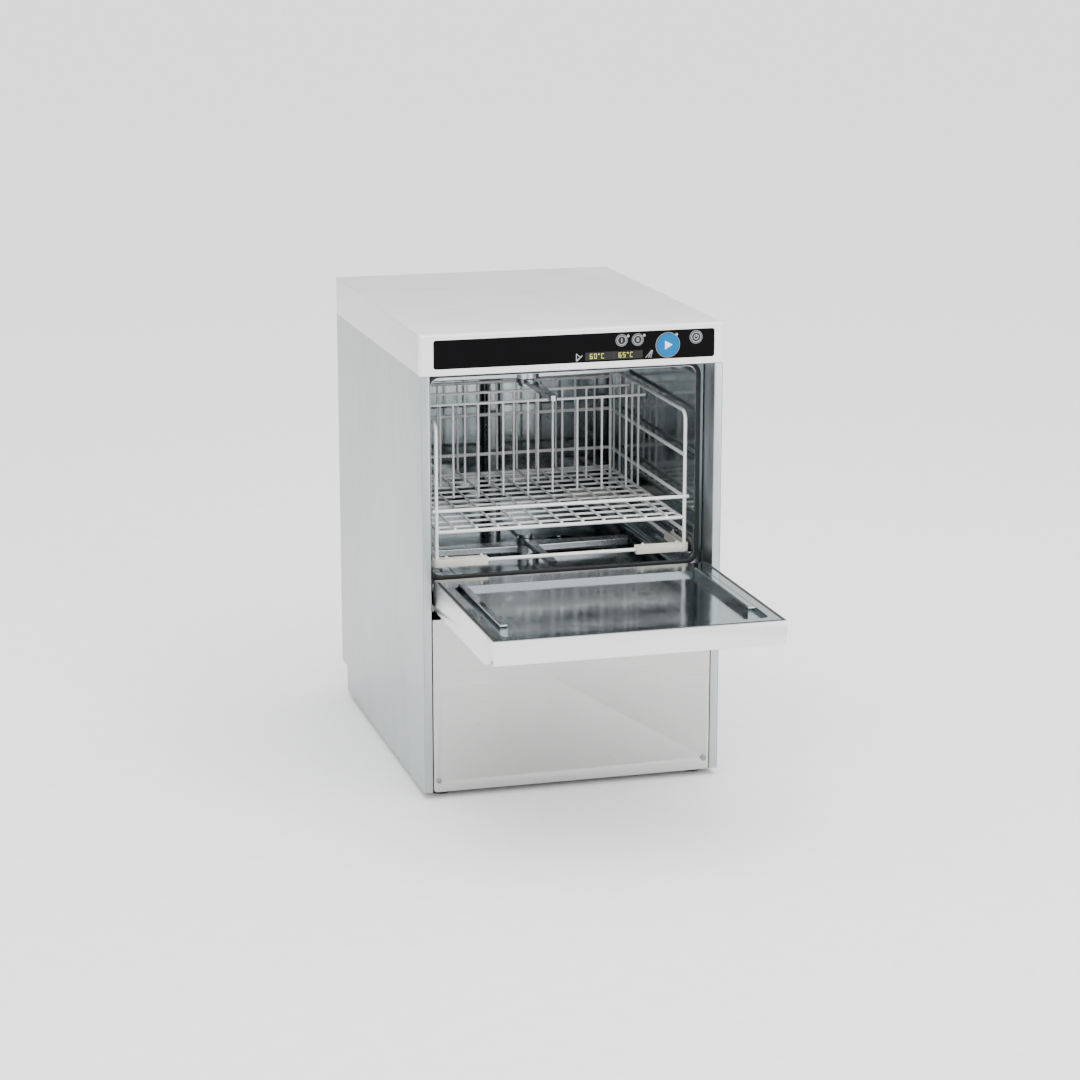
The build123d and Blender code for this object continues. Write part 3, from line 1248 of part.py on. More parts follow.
def door_inner_liner():
    y0 = DOOR_INNER - LINER_SKIN
    half = DOOR_HALF - LINER_EDGE
    z0 = DOOR_BOTTOM + 1
    z1 = DOOR_TOP - LINER_EDGE
    rim = LINER_RIM
    plate = span(-half, half, y0, DOOR_INNER, z0, z1)
    z_low = LINER_FOOT
    z_high = z1 - rim
    dish_half = half - rim
    dish = span(-dish_half, dish_half, y0 - LINER_DISH, DOOR_INNER, z_low, z_high)
    dish = fillet(upright(dish, Axis.Y), LINER_CORNER)
    hollow = span(-dish_half + 1, dish_half - 1, y0 - LINER_DISH + 1, DOOR_INNER + 1, z_low + 1, z_high - 1)
    hollow = fillet(upright(hollow, Axis.Y), LINER_CORNER - 1)
    return opened(plate + dish - hollow)


def door_rack_guide():
    t = LINER_SKIN
    y0 = DOOR_INNER - LINER_SKIN - LINER_DISH + LINER_SKIN + TOUCH_GAP
    y1 = DOOR_INNER + GUIDE_ABOVE_RIM
    z0 = LINER_FOOT + GUIDE_START
    z1 = DOOR_TOP - GUIDE_END
    x0 = GUIDE_X - GUIDE_WIDTH / 2
    x1 = GUIDE_X + GUIDE_WIDTH / 2
    guide = span(x0, x1, y0, y1, z0, z1)
    guide = fillet(guide.faces().sort_by(Axis.Y)[-1].edges(), GUIDE_EDGE)
    return guide - span(x0 + t, x1 - t, y0 - 1, y1 - t, z0 + 2 * t, z1 - 2 * t)


def door_rack_guides():
    return opened(both_sides(door_rack_guide()))


def door_insulation():
    half = DOOR_HALF - DOOR_SKIN - FOAM_EDGE
    y0 = FRONT + DOOR_SKIN + FOAM_GAP
    y1 = DOOR_INNER - LINER_SKIN - LINER_DISH - FOAM_GAP
    return opened(span(-half, half, y0, y1, SILL_Z + 10, DOOR_TOP - HANDLE_LENGTH - 6))


def door_hinge_arm():
    x1 = DOOR_HALF - DOOR_SKIN - TOUCH_GAP
    x0 = x1 - HINGE_ARM
    y0 = FRONT + DOOR_SKIN + 0.2
    y1 = DOOR_INNER - LINER_SKIN - 2
    arm = span(x0, x1, y0, y1, DOOR_BOTTOM + HINGE_ARM_LIFT, DOOR_BOTTOM + HINGE_ARM_LENGTH)
    corner = [e for e in upright(arm, Axis.X) if e.center().Y < y0 + 1 and e.center().Z < DOOR_BOTTOM + 3]
    arm = fillet(corner, 2)
    return arm + rod_x(HINGE_Y, HINGE_Z, x0, RETURN_X - PIN_END_GAP, PIN_R)


def door_hinge_arms():
    return opened(both_sides(door_hinge_arm()))


# ---------------------------------------------------------------- rack
def shoe_level():
    return RACK_REST_Z + SHOE_FLOOR + BASE_WIRE_R


def wire_half():
    return RACK_HALF - SHOE_WIDTH / 2


def rack_frame():
    half = wire_half()
    y0 = RACK_Y0 + SHOE_WIDTH / 2
    y1 = RACK_Y1 - SHOE_WIDTH / 2
    z0 = shoe_level()
    top = RACK_REST_Z + RACK_HEIGHT - MAIN_WIRE_R
    wires = []
    for x in (-half, half):
        wires.append(bent_rod([(x, y0, z0), (x, y0, top), (x, y1, top), (x, y1, z0)], MAIN_WIRE_R, POST_BEND))
        wires.append(rod_y(x, z0, y0, y1, BASE_WIRE_R))
        for level in (*SIDE_RAIL_LEVELS, HIGH_RAIL_LEVEL):
            wires.append(rod_y(x, RACK_REST_Z + level, y0, y1, MAIN_WIRE_R))
    for y in (y0, y1):
        wires.append(rod_x(y, z0, -half, half, BASE_WIRE_R))
    end = half + RAIL_END
    wires.append(rod_x(y0, RACK_REST_Z + FRONT_RAIL_LEVEL, -end, end, MAIN_WIRE_R))
    for level in (SIDE_RAIL_LEVELS[1], HIGH_RAIL_LEVEL, RACK_HEIGHT - MAIN_WIRE_R - POST_BEND):
        wires.append(rod_x(y1, RACK_REST_Z + level, -half, half, MAIN_WIRE_R))
    return seamed(Part() + wires + wall_wires(), *rack_zones())


def rack_zones():
    wide = wire_half() - MAIN_WIRE_R - SEAM
    side = wire_half() - 8
    y_split = RACK_Y1 - SHOE_WIDTH / 2 - (WALL_WIRES + 0.5) * SIDE_WIRE_PITCH
    return [
        (-FAR, -wide, -FAR, y_split, 0, FAR), (wide, FAR, -FAR, y_split, 0, FAR),
        (-FAR, -side, y_split, FAR, 0, FAR), (side, FAR, y_split, FAR, 0, FAR),
        (-wide, wide, -FAR, y_split, 0, FAR), (-side, side, y_split, FAR, 0, FAR)]


def wall_wires():
    half = wire_half() - MAIN_WIRE_R - THIN_WIRE_R + WELD
    y1 = RACK_Y1 - SHOE_WIDTH / 2
    y_wall = y1 - MAIN_WIRE_R - THIN_WIRE_R + WELD
    low = RACK_REST_Z + FLOOR_LEVEL
    high = RACK_REST_Z + RACK_HEIGHT - MAIN_WIRE_R
    wires = []
    for index in range(1, WALL_WIRES + 1):
        for x in (-half, half):
            wires.append(rod_z(x, y1 - index * SIDE_WIRE_PITCH, low, high, THIN_WIRE_R))
    for index in range(-WALL_WIRES, WALL_WIRES + 1):
        wires.append(rod_z(index * SIDE_WIRE_PITCH, y_wall, low, high - POST_BEND, THIN_WIRE_R))
    return wires


def rack_floor_grid():
    half = wire_half() - 2 * MAIN_WIRE_R + WELD
    y0 = RACK_Y0 + SHOE_WIDTH / 2
    y1 = RACK_Y1 - SHOE_WIDTH / 2 - 2 * MAIN_WIRE_R
    level = RACK_REST_Z + FLOOR_LEVEL
    wires = []
    ring = [(-half, y0), (half, y0), (half, y1), (-half, y1), (-half, y0)]
    for start, end in zip(ring, ring[1:]):
        wires.append(rod((*start, level), (*end, level), MAIN_WIRE_R))
        wires.append(Pos(*start, level) * Sphere(MAIN_WIRE_R))
    above = level + MAIN_WIRE_R + THIN_WIRE_R - WELD
    under = above - 2 * THIN_WIRE_R + WELD
    middle = (y0 + y1) / 2
    count = int(half / GRID_PITCH)
    for index in range(-count, count + 1):
        wires.append(rod_y(index * GRID_PITCH, above, y0 - 1, y1 + 1, THIN_WIRE_R))
    rows = int((y1 - middle) / GRID_PITCH)
    for index in range(-rows, rows + 1):
        wires.append(rod_x(middle + index * GRID_PITCH, under, -half, half, THIN_WIRE_R))
    return Part() + wires


def rack_fences():
    half = wire_half() - MAIN_WIRE_R - TOUCH_GAP
    low = RACK_REST_Z + FLOOR_LEVEL + MAIN_WIRE_R + 2 * THIN_WIRE_R
    rail = RACK_REST_Z + FENCE_LEVEL
    count = int((half - FENCE_SIDE) / FENCE_PITCH)
    wires = []
    for step in FENCE_STEPS:
        y = RACK_Y1 - SHOE_WIDTH / 2 - step * SIDE_WIRE_PITCH
        wires.append(rod_x(y, rail, -half, half, FENCE_RAIL_R))
        for index in range(-count, count + 1):
            wires.append(rod_z(index * FENCE_PITCH, y, low, rail, THIN_WIRE_R))
    return Part() + wires


def rack_shoe():
    x1 = RACK_HALF
    y0 = RACK_Y0
    z0 = RACK_REST_Z
    shoe = span(x1 - SHOE_LENGTH, x1, y0, y0 + SHOE_WIDTH, z0, z0 + SHOE_HEIGHT)
    shoe += span(x1 - SHOE_WIDTH, x1, y0, y0 + SHOE_LENGTH, z0, z0 + SHOE_HEIGHT)
    corner = [e for e in upright(shoe) if e.center().X > x1 - 1 and e.center().Y < y0 + 1]
    shoe = fillet(corner, SHOE_CORNER)
    wire_x = wire_half()
    wire_y = y0 + SHOE_WIDTH / 2
    z_wire = shoe_level()
    grip = BASE_WIRE_R + TOUCH_GAP
    x_end = x1 - SHOE_LENGTH - 1
    y_end = y0 + SHOE_LENGTH + 1
    z_above = z0 + SHOE_HEIGHT + 1
    groove = span(x_end, wire_x, wire_y - grip, wire_y + grip, z_wire, z_above)
    groove += span(wire_x - grip, wire_x + grip, wire_y - grip, y_end, z_wire, z_above)
    groove += rod_x(wire_y, z_wire, x_end, wire_x + grip, grip)
    groove += rod_y(wire_x, z_wire, wire_y - grip, y_end, grip)
    return shoe - groove


def rack_shoes():
    front = both_sides(rack_shoe())
    middle = Plane.XZ.offset(-RACK_MIDDLE_Y)
    return Part() + [front, mirror(front, about=middle)]


# ---------------------------------------------------------------- all nodes
NODES = {
    "left_side_panel": left_side_panel,
    "right_side_panel": side_panel,
    "front_posts": front_posts,
    "rear_panel": rear_panel,
    "rear_panel_screws": rear_panel_screws,
    "top_cover": top_cover,
    "head_fascia": head_fascia,
    "control_overlay": control_overlay,
    "display_window": display_window,
    "status_lamps": status_lamps,
    "control_board": control_board,
    "start_button": lambda: push_button(START_X, START_Z, START_R),
    "programme_one_button": lambda: push_button(KEY_XS[0], KEY_Z, KEY_R),
    "programme_two_button": lambda: push_button(KEY_XS[1], KEY_Z, KEY_R),
    "power_button": lambda: push_button(POWER_X, KEY_Z, POWER_R),
    "front_service_panel": service_panel,
    "service_panel_screws": service_panel_screws,
    "base_tray": base_tray,
    "levelling_feet": levelling_feet,
    "wash_chamber": wash_chamber,
    "door_seal": door_seal,
    "rack_rails": rack_rails,
    "hinge_brackets": hinge_brackets,
    "wash_manifold": wash_manifold,
    "riser_pipe": riser_pipe,
    "lower_wash_arm": lambda: wash_arm(LOWER_SEAT_Z, 1),
    "lower_rinse_arm": lambda: rinse_arm(LOWER_SEAT_Z, 1),
    "upper_wash_arm": lambda: wash_arm(UPPER_SEAT_Z, -1),
    "upper_rinse_arm": lambda: rinse_arm(UPPER_SEAT_Z, -1),
    "tank_filter": tank_filter,
    "filter_basket": filter_basket,
    "tank_heating_element": tank_heating_element,
    "wash_pump_housing": wash_pump_housing,
    "wash_pump_motor": wash_pump_motor,
    "suction_hose": suction_hose,
    "pressure_hose": pressure_hose,
    "drain_pump": drain_pump,
    "drain_hose": drain_hose,
    "drain_spigot": drain_spigot,
    "water_inlet_valve": water_inlet_valve,
    "cable_gland": cable_gland,
    "rinse_booster": rinse_booster,
    "booster_heating_element": booster_heating_element,
    "air_break_tank": air_break_tank,
    "fill_hose": fill_hose,
    "rinse_hose": rinse_hose,
    "dosing_bracket": dosing_bracket,
    "detergent_pump": lambda: dosing_pump(DETERGENT_X),
    "rinse_aid_pump": lambda: dosing_pump(RINSE_AID_X),
    "terminal_block": terminal_block,
    "contactor": contactor,
    "door_outer_panel": door_outer_panel,
    "door_inner_liner": door_inner_liner,
    "door_rack_guides": door_rack_guides,
    "door_insulation": door_insulation,
    "door_hinge_arms": door_hinge_arms,
    "rack_frame": rack_frame,
    "rack_floor_grid": rack_floor_grid,
    "rack_fences": rack_fences,
    "rack_shoes": rack_shoes,
}

os.makedirs("parts", exist_ok=True)
for node, build in NODES.items():
    export_step(Pos(0, SHIFT_Y, 0) * build(), f"parts/{node}.step")
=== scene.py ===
import json
import math
import bmesh
import bpy
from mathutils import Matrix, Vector


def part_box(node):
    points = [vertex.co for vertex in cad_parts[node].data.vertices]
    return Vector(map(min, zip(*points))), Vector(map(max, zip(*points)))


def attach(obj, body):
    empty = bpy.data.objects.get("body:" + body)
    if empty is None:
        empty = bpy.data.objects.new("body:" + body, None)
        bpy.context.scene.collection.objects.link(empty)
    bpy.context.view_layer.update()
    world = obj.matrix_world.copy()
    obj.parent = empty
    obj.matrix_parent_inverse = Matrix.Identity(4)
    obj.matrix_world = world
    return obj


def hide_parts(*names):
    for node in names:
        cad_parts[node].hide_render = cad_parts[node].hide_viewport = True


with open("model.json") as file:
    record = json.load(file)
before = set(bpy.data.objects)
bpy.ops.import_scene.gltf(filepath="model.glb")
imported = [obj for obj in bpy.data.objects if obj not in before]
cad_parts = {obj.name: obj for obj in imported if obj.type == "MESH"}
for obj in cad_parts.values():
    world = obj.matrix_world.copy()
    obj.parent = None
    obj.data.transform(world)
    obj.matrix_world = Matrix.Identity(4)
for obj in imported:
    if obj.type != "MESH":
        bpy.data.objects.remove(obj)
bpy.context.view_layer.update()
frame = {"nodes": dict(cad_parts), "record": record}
nodes = frame["nodes"]


# ---------------------------------------------------------------- finishes
class Finish:
    """One procedural material: a Principled shader fed by patterns on Object coordinates."""

    def __init__(self, name, **shader):
        self.mat = bpy.data.materials.new(name)
        self.mat.use_nodes = True
        self.tree = self.mat.node_tree
        self.shader = self.tree.nodes["Principled BSDF"]
        for socket, value in shader.items():
            self.shader.inputs[socket.replace("_", " ")].default_value = value
        self.place = self.tree.nodes.new("ShaderNodeTexCoord").outputs["Object"]

    def node(self, kind, links=(), **values):
        made = self.tree.nodes.new(kind)
        for key, value in values.items():
            setattr(made, key, value)
        for socket, source in dict(links).items():
            self.feed(made.inputs[socket], source)
        return made

    def feed(self, socket, source):
        if isinstance(source, bpy.types.NodeSocket):
            self.tree.links.new(source, socket)
        else:
            socket.default_value = source

    def scaled(self, scale, turn=(0, 0, 0)):
        mapping = self.node("ShaderNodeMapping", {"Vector": self.place, "Scale": scale, "Rotation": turn})
        return mapping.outputs["Vector"]

    def noise(self, scale, detail=3.0, rough=0.55, stretch=(1, 1, 1)):
        place = self.scaled(stretch)
        links = {"Vector": place, "Scale": scale, "Detail": detail, "Roughness": rough}
        return self.node("ShaderNodeTexNoise", links).outputs["Fac"]

    def remap(self, source, low, high, start=0.3, end=0.7):
        links = {"Value": source, "From Min": start, "From Max": end, "To Min": low, "To Max": high}
        return self.node("ShaderNodeMapRange", links).outputs["Result"]

    def blend(self, factor, first, second):
        made = self.node("ShaderNodeMix", data_type="RGBA")
        for index, source in ((0, factor), (6, first), (7, second)):
            self.feed(made.inputs[index], source)
        return made.outputs[2]

    def colour(self, source):
        self.feed(self.shader.inputs["Base Color"], source)

    def roughness(self, source):
        self.feed(self.shader.inputs["Roughness"], source)

    def bump(self, height, depth, strength=1.0, under=None):
        links = {"Height": height, "Distance": depth, "Strength": strength}
        if under is not None:
            links["Normal"] = under
        made = self.node("ShaderNodeBump", links)
        self.feed(self.shader.inputs["Normal"], made.outputs["Normal"])
        return made.outputs["Normal"]


def shade(colour, factor):
    return (*(c * factor for c in colour[:3]), 1.0)


def ground_steel(name, colour, rough, stretch, spread=0.06, tint=0.94, grain=1.0):
    """Stainless sheet with fine ground lines, soft clouding and faint wipe marks."""
    steel = Finish(name, Metallic=1.0)
    lines = steel.noise(1.0, 4.0, 0.6, stretch)
    cloud = steel.noise(5.0, 3.0, 0.5)
    wipes = steel.noise(11.0, 4.0, 0.65, (1.0, 2.2, 0.5))
    mottled = steel.blend(steel.remap(cloud, 0, 1), shade(colour, tint), shade(colour, 1.03))
    steel.colour(steel.blend(steel.remap(lines, 0.0, 0.5), mottled, shade(colour, tint * 0.93)))
    base = steel.remap(lines, rough - spread, rough + spread)
    marks = steel.remap(wipes, -0.03, 0.05, 0.35, 0.75)
    total = steel.node("ShaderNodeMath", {0: base, 1: marks}, operation="ADD")
    steel.roughness(total.outputs[0])
    steel.bump(lines, 0.00003 * grain, 0.35)
    return steel.mat


def mirror_steel(name, colour, rough=0.1):
    """Bright drawn sheet: nearly mirror, with slow ripples and dried water marks."""
    steel = Finish(name, Metallic=1.0)
    ripple = steel.noise(7.0, 2.0, 0.4, (1, 1, 0.6))
    links = {"Vector": steel.scaled((1, 1, 1)), "Scale": 85.0}
    spots = steel.node("ShaderNodeTexVoronoi", links, feature="DISTANCE_TO_EDGE")
    film = steel.noise(26.0, 5.0, 0.65)
    steel.colour(steel.blend(steel.remap(film, 0, 1), shade(colour, 0.9), shade(colour, 1.04)))
    rim = steel.remap(spots.outputs["Distance"], 0.05, 0.0, 0.0, 0.05)
    base = steel.remap(film, rough - 0.03, rough + 0.07)
    total = steel.node("ShaderNodeMath", {0: base, 1: rim}, operation="ADD")
    steel.roughness(total.outputs[0])
    first = steel.bump(ripple, 0.0022, 0.5)
    steel.bump(film, 0.00004, 0.25, first)
    return steel.mat


def moulded(name, colour, rough, grain_scale=900.0, grain_depth=0.00004, mottle=0.93, coat=0.0, metal=0.0):
    """Moulded or coated surface: fine orange-peel grain, slight mottling and scuffed gloss."""
    plastic = Finish(name, Metallic=metal)
    plastic.shader.inputs["Coat Weight"].default_value = coat
    plastic.shader.inputs["Coat Roughness"].default_value = 0.08
    peel = plastic.noise(grain_scale, 2.0, 0.5)
    mottling = plastic.noise(28.0, 4.0, 0.6)
    scuffs = plastic.noise(150.0, 5.0, 0.7, (1.0, 0.35, 1.0))
    plastic.colour(plastic.blend(plastic.remap(mottling, 0, 1), shade(colour, mottle), shade(colour, 1.03)))
    plastic.roughness(plastic.remap(scuffs, rough - 0.05, rough + 0.08, 0.3, 0.75))
    plastic.bump(peel, grain_depth, 0.4)
    return plastic.mat


def rubber(name, colour, rough=0.62):
    return moulded(name, colour, rough, 1600.0, 0.00006, 0.8)


def glowing(name, colour, strength):
    """Lit display segment, slightly uneven in brightness."""
    light = Finish(name, Roughness=0.4)
    flicker = light.noise(2200.0, 2.0, 0.5)
    light.colour(shade(colour, 0.5))
    glow = light.blend(light.remap(flicker, 0, 1), shade(colour, 0.8), shade(colour, 1.0))
    light.feed(light.shader.inputs["Emission Color"], glow)
    light.shader.inputs["Emission Strength"].default_value = strength
    return light.mat


def dulled(material, level):
    """Less of a shine than bare plastic has."""
    material.node_tree.nodes["Principled BSDF"].inputs["Specular IOR Level"].default_value = level


# how far the ground lines are drawn out along x, y and z
SIDE_GRAIN = (700, 700, 9)
TOP_GRAIN = (700, 9, 700)
LEVEL_GRAIN = (9, 700, 700)
EVEN_GRAIN = (300, 300, 300)
finishes = {
    "cabinet_steel": ground_steel("cabinet_steel", (0.45, 0.483, 0.495), 0.34, SIDE_GRAIN),
    "top_steel": ground_steel("top_steel", (0.76, 0.76, 0.755), 0.42, TOP_GRAIN, 0.05, 0.96),
    "front_steel": ground_steel("front_steel", (0.55, 0.54, 0.535), 0.32, LEVEL_GRAIN),
    "door_steel": ground_steel("door_steel", (0.80, 0.79, 0.79), 0.28, LEVEL_GRAIN, 0.05, 0.96),
    "bracket_steel": ground_steel("bracket_steel", (0.17, 0.18, 0.19), 0.42, SIDE_GRAIN),
    "screw_steel": ground_steel("screw_steel", (0.30, 0.30, 0.31), 0.28, EVEN_GRAIN),
    "arm_steel": ground_steel("arm_steel", (0.50, 0.52, 0.53), 0.24, TOP_GRAIN),
    "element_steel": ground_steel("element_steel", (0.22, 0.21, 0.20), 0.5, EVEN_GRAIN),
    "polished_steel": mirror_steel("polished_steel", (0.30, 0.335, 0.345)),
    "fascia_silver": moulded("fascia_silver", (0.86, 0.86, 0.85), 0.36, 1500.0, 0.00002, 0.97, 0.0, 0.35),
    "overlay_black": moulded("overlay_black", (0.0015, 0.0015, 0.002), 0.5, 2500.0, 0.00001, 0.7),
    "display_smoke": moulded("display_smoke", (0.030, 0.030, 0.029), 0.3, 2500.0, 0.00001, 0.8),
    "lamp_grey": moulded("lamp_grey", (0.36, 0.37, 0.38), 0.3, 2500.0, 0.00002, 0.8, 0.3),
    "start_blue": moulded("start_blue", (0.0, 0.14, 0.36), 0.45, 2000.0, 0.00001, 0.95),
    "key_grey": moulded("key_grey", (0.028, 0.028, 0.031), 0.5, 2000.0, 0.00002, 0.85),
    "seal_rubber": rubber("seal_rubber", (0.010, 0.010, 0.011)),
    "foot_black": moulded("foot_black", (0.02, 0.02, 0.02), 0.5),
    "rack_white": moulded("rack_white", (0.96, 0.96, 0.96), 0.34, 700.0, 0.00008, 0.98, 0.2),
    "shoe_cream": moulded("shoe_cream", (0.82, 0.78, 0.69), 0.42, 1100.0, 0.00004, 0.94),
    "pump_black": moulded("pump_black", (0.025, 0.028, 0.032), 0.45),
    "motor_grey": moulded("motor_grey", (0.17, 0.18, 0.19), 0.5, 600.0, 0.0002),
    "hose_black": rubber("hose_black", (0.02, 0.02, 0.022)),
    "hose_clear": moulded("hose_clear", (0.55, 0.56, 0.54), 0.35),
    "tank_natural": moulded("tank_natural", (0.70, 0.70, 0.65), 0.4),
    "board_green": moulded("board_green", (0.015, 0.13, 0.05), 0.35, 600.0, 0.0001),
    "insulation_grey": moulded("insulation_grey", (0.22, 0.23, 0.24), 0.85, 300.0, 0.0006, 0.8),
    "pump_case_grey": moulded("pump_case_grey", (0.40, 0.41, 0.42), 0.45),
    "valve_white": moulded("valve_white", (0.78, 0.78, 0.77), 0.38),
}
for dull in ("overlay_black", "display_smoke", "key_grey", "start_blue"):
    dulled(finishes[dull], 0.06)
print_grey = moulded("print_grey", (0.40, 0.41, 0.42), 0.4, 2500.0, 0.00001, 0.9)
print_white = moulded("print_white", (0.82, 0.83, 0.84), 0.4, 2500.0, 0.00001, 0.95)
segment_glow = glowing("segment_glow", (0.80, 0.83, 0.12), 1.6)
key_ring = moulded("key_ring", (0.24, 0.25, 0.26), 0.3, 2000.0, 0.00001, 0.85, 0.2)
# one dark finish for two marks: painted shade in the filter's holes, and the display divider's own dark print
hole_shade_and_divider_print = moulded("hole_shade_and_divider_print", (0.012, 0.013, 0.014), 0.5, 1500.0, 0.00002, 0.7)

for entry in frame["record"]["subparts"]:
    for holder in nodes[entry["node"]].material_slots:
        holder.material = finishes[entry["material_slot"]]


MM = 0.001
MAIN_WIRE = 2.75 * MM
RAIL_END = 6.0 * MM
SIDE_RAIL_RISES = (31.0 * MM, 83.0 * MM)
HIGH_RAIL_DROP = 70.0 * MM
FRONT_RAIL_RISE = 84.0 * MM
GRID_PITCH = 33.0 * MM
CLIP_PLACES = (20.0 * MM, 74.0 * MM)
CLIP_WIDE = 5.0 * MM
CLIP_THICK = 1.6 * MM
CLIP_HIGH = 6.0 * MM
SPIGOT_X = 120.0 * MM
SPIGOT_RADIUS = 11.0 * MM
INLET_X = 60.0 * MM
INLET_RADIUS = 13.2 * MM
REAR_PORT_Z = 32.0 * MM
PRINT = 0.06 * MM
LINE = 1.0 * MM
BAR_PITCH = 2.4 * MM
BAR_WIDE = 1.2 * MM
BAR_HIGH = 6.0 * MM


# ---------------------------------------------------------------- making pieces
def lay(name, mesh, material, body):
    """A finished mesh as one object that rides on its body, with the given finish in its slot."""
    made = bpy.data.objects.new(name, mesh)
    bpy.context.scene.collection.objects.link(made)
    mesh.materials.clear()
    mesh.materials.append(material)
    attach(made, body)
    return made


def from_bmesh(name, built, material, body, smooth=False):
    """The drawn shape laid as one piece, its faces turned outward first."""
    bmesh.ops.recalc_face_normals(built, faces=built.faces)
    mesh = bpy.data.meshes.new(name)
    built.to_mesh(mesh)
    built.free()
    if smooth:
        mesh.shade_smooth()
    return lay(name, mesh, material, body)


def slab(built, points, y_face):
    """A thin print with the outline points (x, z), its face at y_face."""
    front = [built.verts.new((x, y_face, z)) for x, z in points]
    back = [built.verts.new((x, y_face + PRINT, z)) for x, z in points]
    count = len(points)
    built.faces.new(front)
    built.faces.new(back[::-1])
    for index in range(count):
        after = (index + 1) % count
        built.faces.new((front[after], front[index], back[index], back[after]))


def plate(built, x0, z0, x1, z1, y_face):
    """A thin upright print from (x0, z0) to (x1, z1)."""
    slab(built, [(x0, z0), (x1, z0), (x1, z1), (x0, z1)], y_face)


def ring(built, x, z, outer, y_face, start=0.0, sweep=2 * math.pi, line=LINE, count=48):
    """A printed ring or arc with the given outer radius, drawn as short steps side by side."""
    inner = outer - line
    closed = abs(sweep - 2 * math.pi) < 1e-6
    steps = count if closed else count + 1
    rows = []
    for index in range(steps):
        angle = start + sweep * index / count
        across, up = math.cos(angle), math.sin(angle)
        corners = ((inner, y_face), (outer, y_face), (outer, y_face + PRINT), (inner, y_face + PRINT))
        rows.append([built.verts.new((x + reach * across, y, z + reach * up)) for reach, y in corners])
    pairs = list(zip(rows, rows[1:] + rows[:1])) if closed else list(zip(rows, rows[1:]))
    for one, two in pairs:
        for side in range(4):
            after = (side + 1) % 4
            built.faces.new((one[side], two[side], two[after], one[after]))
    if not closed:
        built.faces.new(rows[0])
        built.faces.new(rows[-1][::-1])


# ---------------------------------------------------------------- control strip
face_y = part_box("control_overlay")[0].y - PRINT


def key_centre(node):
    low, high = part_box(node)
    return (low.x + high.x) / 2, (low.z + high.z) / 2, low.y


def key_symbols():
    for programme, bars in (("programme_one", 1), ("programme_two", 2)):
        x, z, y = key_centre(programme + "_button")
        built = bmesh.new()
        ring(built, x, z, 6.9 * MM, y - PRINT)
        for bar in range(bars):
            middle = x + (bar - (bars - 1) / 2) * BAR_PITCH
            half = BAR_WIDE / 2
            plate(built, middle - half, z - BAR_HIGH / 2, middle + half, z + BAR_HIGH / 2, y - PRINT)
        from_bmesh(programme + "_symbol", built, print_grey, programme + "_key_body")
    x, z, y = key_centre("power_button")
    built = bmesh.new()
    ring(built, x, z, 7.6 * MM, y - PRINT)
    ring(built, x, z, 3.8 * MM, y - PRINT, math.radians(120), math.radians(300))
    plate(built, x - LINE / 2, z, x + LINE / 2, z + 4.4 * MM, y - PRINT)
    from_bmesh("power_symbol", built, print_grey, "power_key_body")
    x, z, y = key_centre("start_button")
    built = bmesh.new()
    arrow = [(x - 4.5 * MM, z - 6.5 * MM), (x + 7 * MM, z), (x - 4.5 * MM, z + 6.5 * MM)]
    slab(built, arrow, y - PRINT)
    from_bmesh("start_symbol", built, print_white, "start_key_body")


def key_surrounds():
    built = bmesh.new()
    for node in ("programme_one_button", "programme_two_button", "power_button", "start_button"):
        x, z, _ = key_centre(node)
        low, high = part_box(node)
        radius = (high.x - low.x) / 2 - 1.6 * MM
        ring(built, x, z, radius + 1.5 * MM, face_y, line=0.9 * MM)
    from_bmesh("key_surrounds", built, key_ring, "cabinet")


def tank_icons():
    """A tank outline left of the display and a triangle of lines right of it."""
    low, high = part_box("display_window")
    z = low.z
    built = bmesh.new()
    x = low.x - 14 * MM
    plate(built, x, z, x + 1 * MM, z + 11 * MM, face_y)
    long_side = ((1, 0), (2, 0), (10, 7.4), (9, 8.2), (1, 1.4))
    short_side = ((1, 10), (5.4, 5.6), (6.1, 6.3), (1, 11))
    for outline in (long_side, short_side):
        slab(built, [(x + across * MM, z + up * MM) for across, up in outline], face_y)
    x = high.x + 4 * MM
    for step in range(3):
        foot = x + step * 4 * MM
        tip = x + 10 * MM + step * 0.8 * MM
        line = [(foot, z), (foot + 1 * MM, z), (tip, z + 11 * MM), (tip - 0.8 * MM, z + 11 * MM)]
        slab(built, line, face_y)
    from_bmesh("tank_icons", built, print_grey, "cabinet")


SEGMENTS = {"0": "abcdef", "5": "acdfg", "6": "acdefg", "C": "adef", "o": "abfg"}


def digit(built, mark, x, z, wide, high, y_face):
    bar = 0.9 * MM
    mid = z + high / 2
    spans = {
        "a": (x, z + high - bar, x + wide, z + high),
        "b": (x + wide - bar, mid, x + wide, z + high),
        "c": (x + wide - bar, z, x + wide, mid),
        "d": (x, z, x + wide, z + bar),
        "e": (x, z, x + bar, mid),
        "f": (x, mid, x + bar, z + high),
        "g": (x, mid - bar / 2, x + wide, mid + bar / 2)}
    for name in SEGMENTS[mark]:
        x0, z0, x1, z1 = spans[name]
        gap = 0.18 * MM
        plate(built, x0 + gap, z0 + gap, x1 - gap, z1 - gap, y_face)


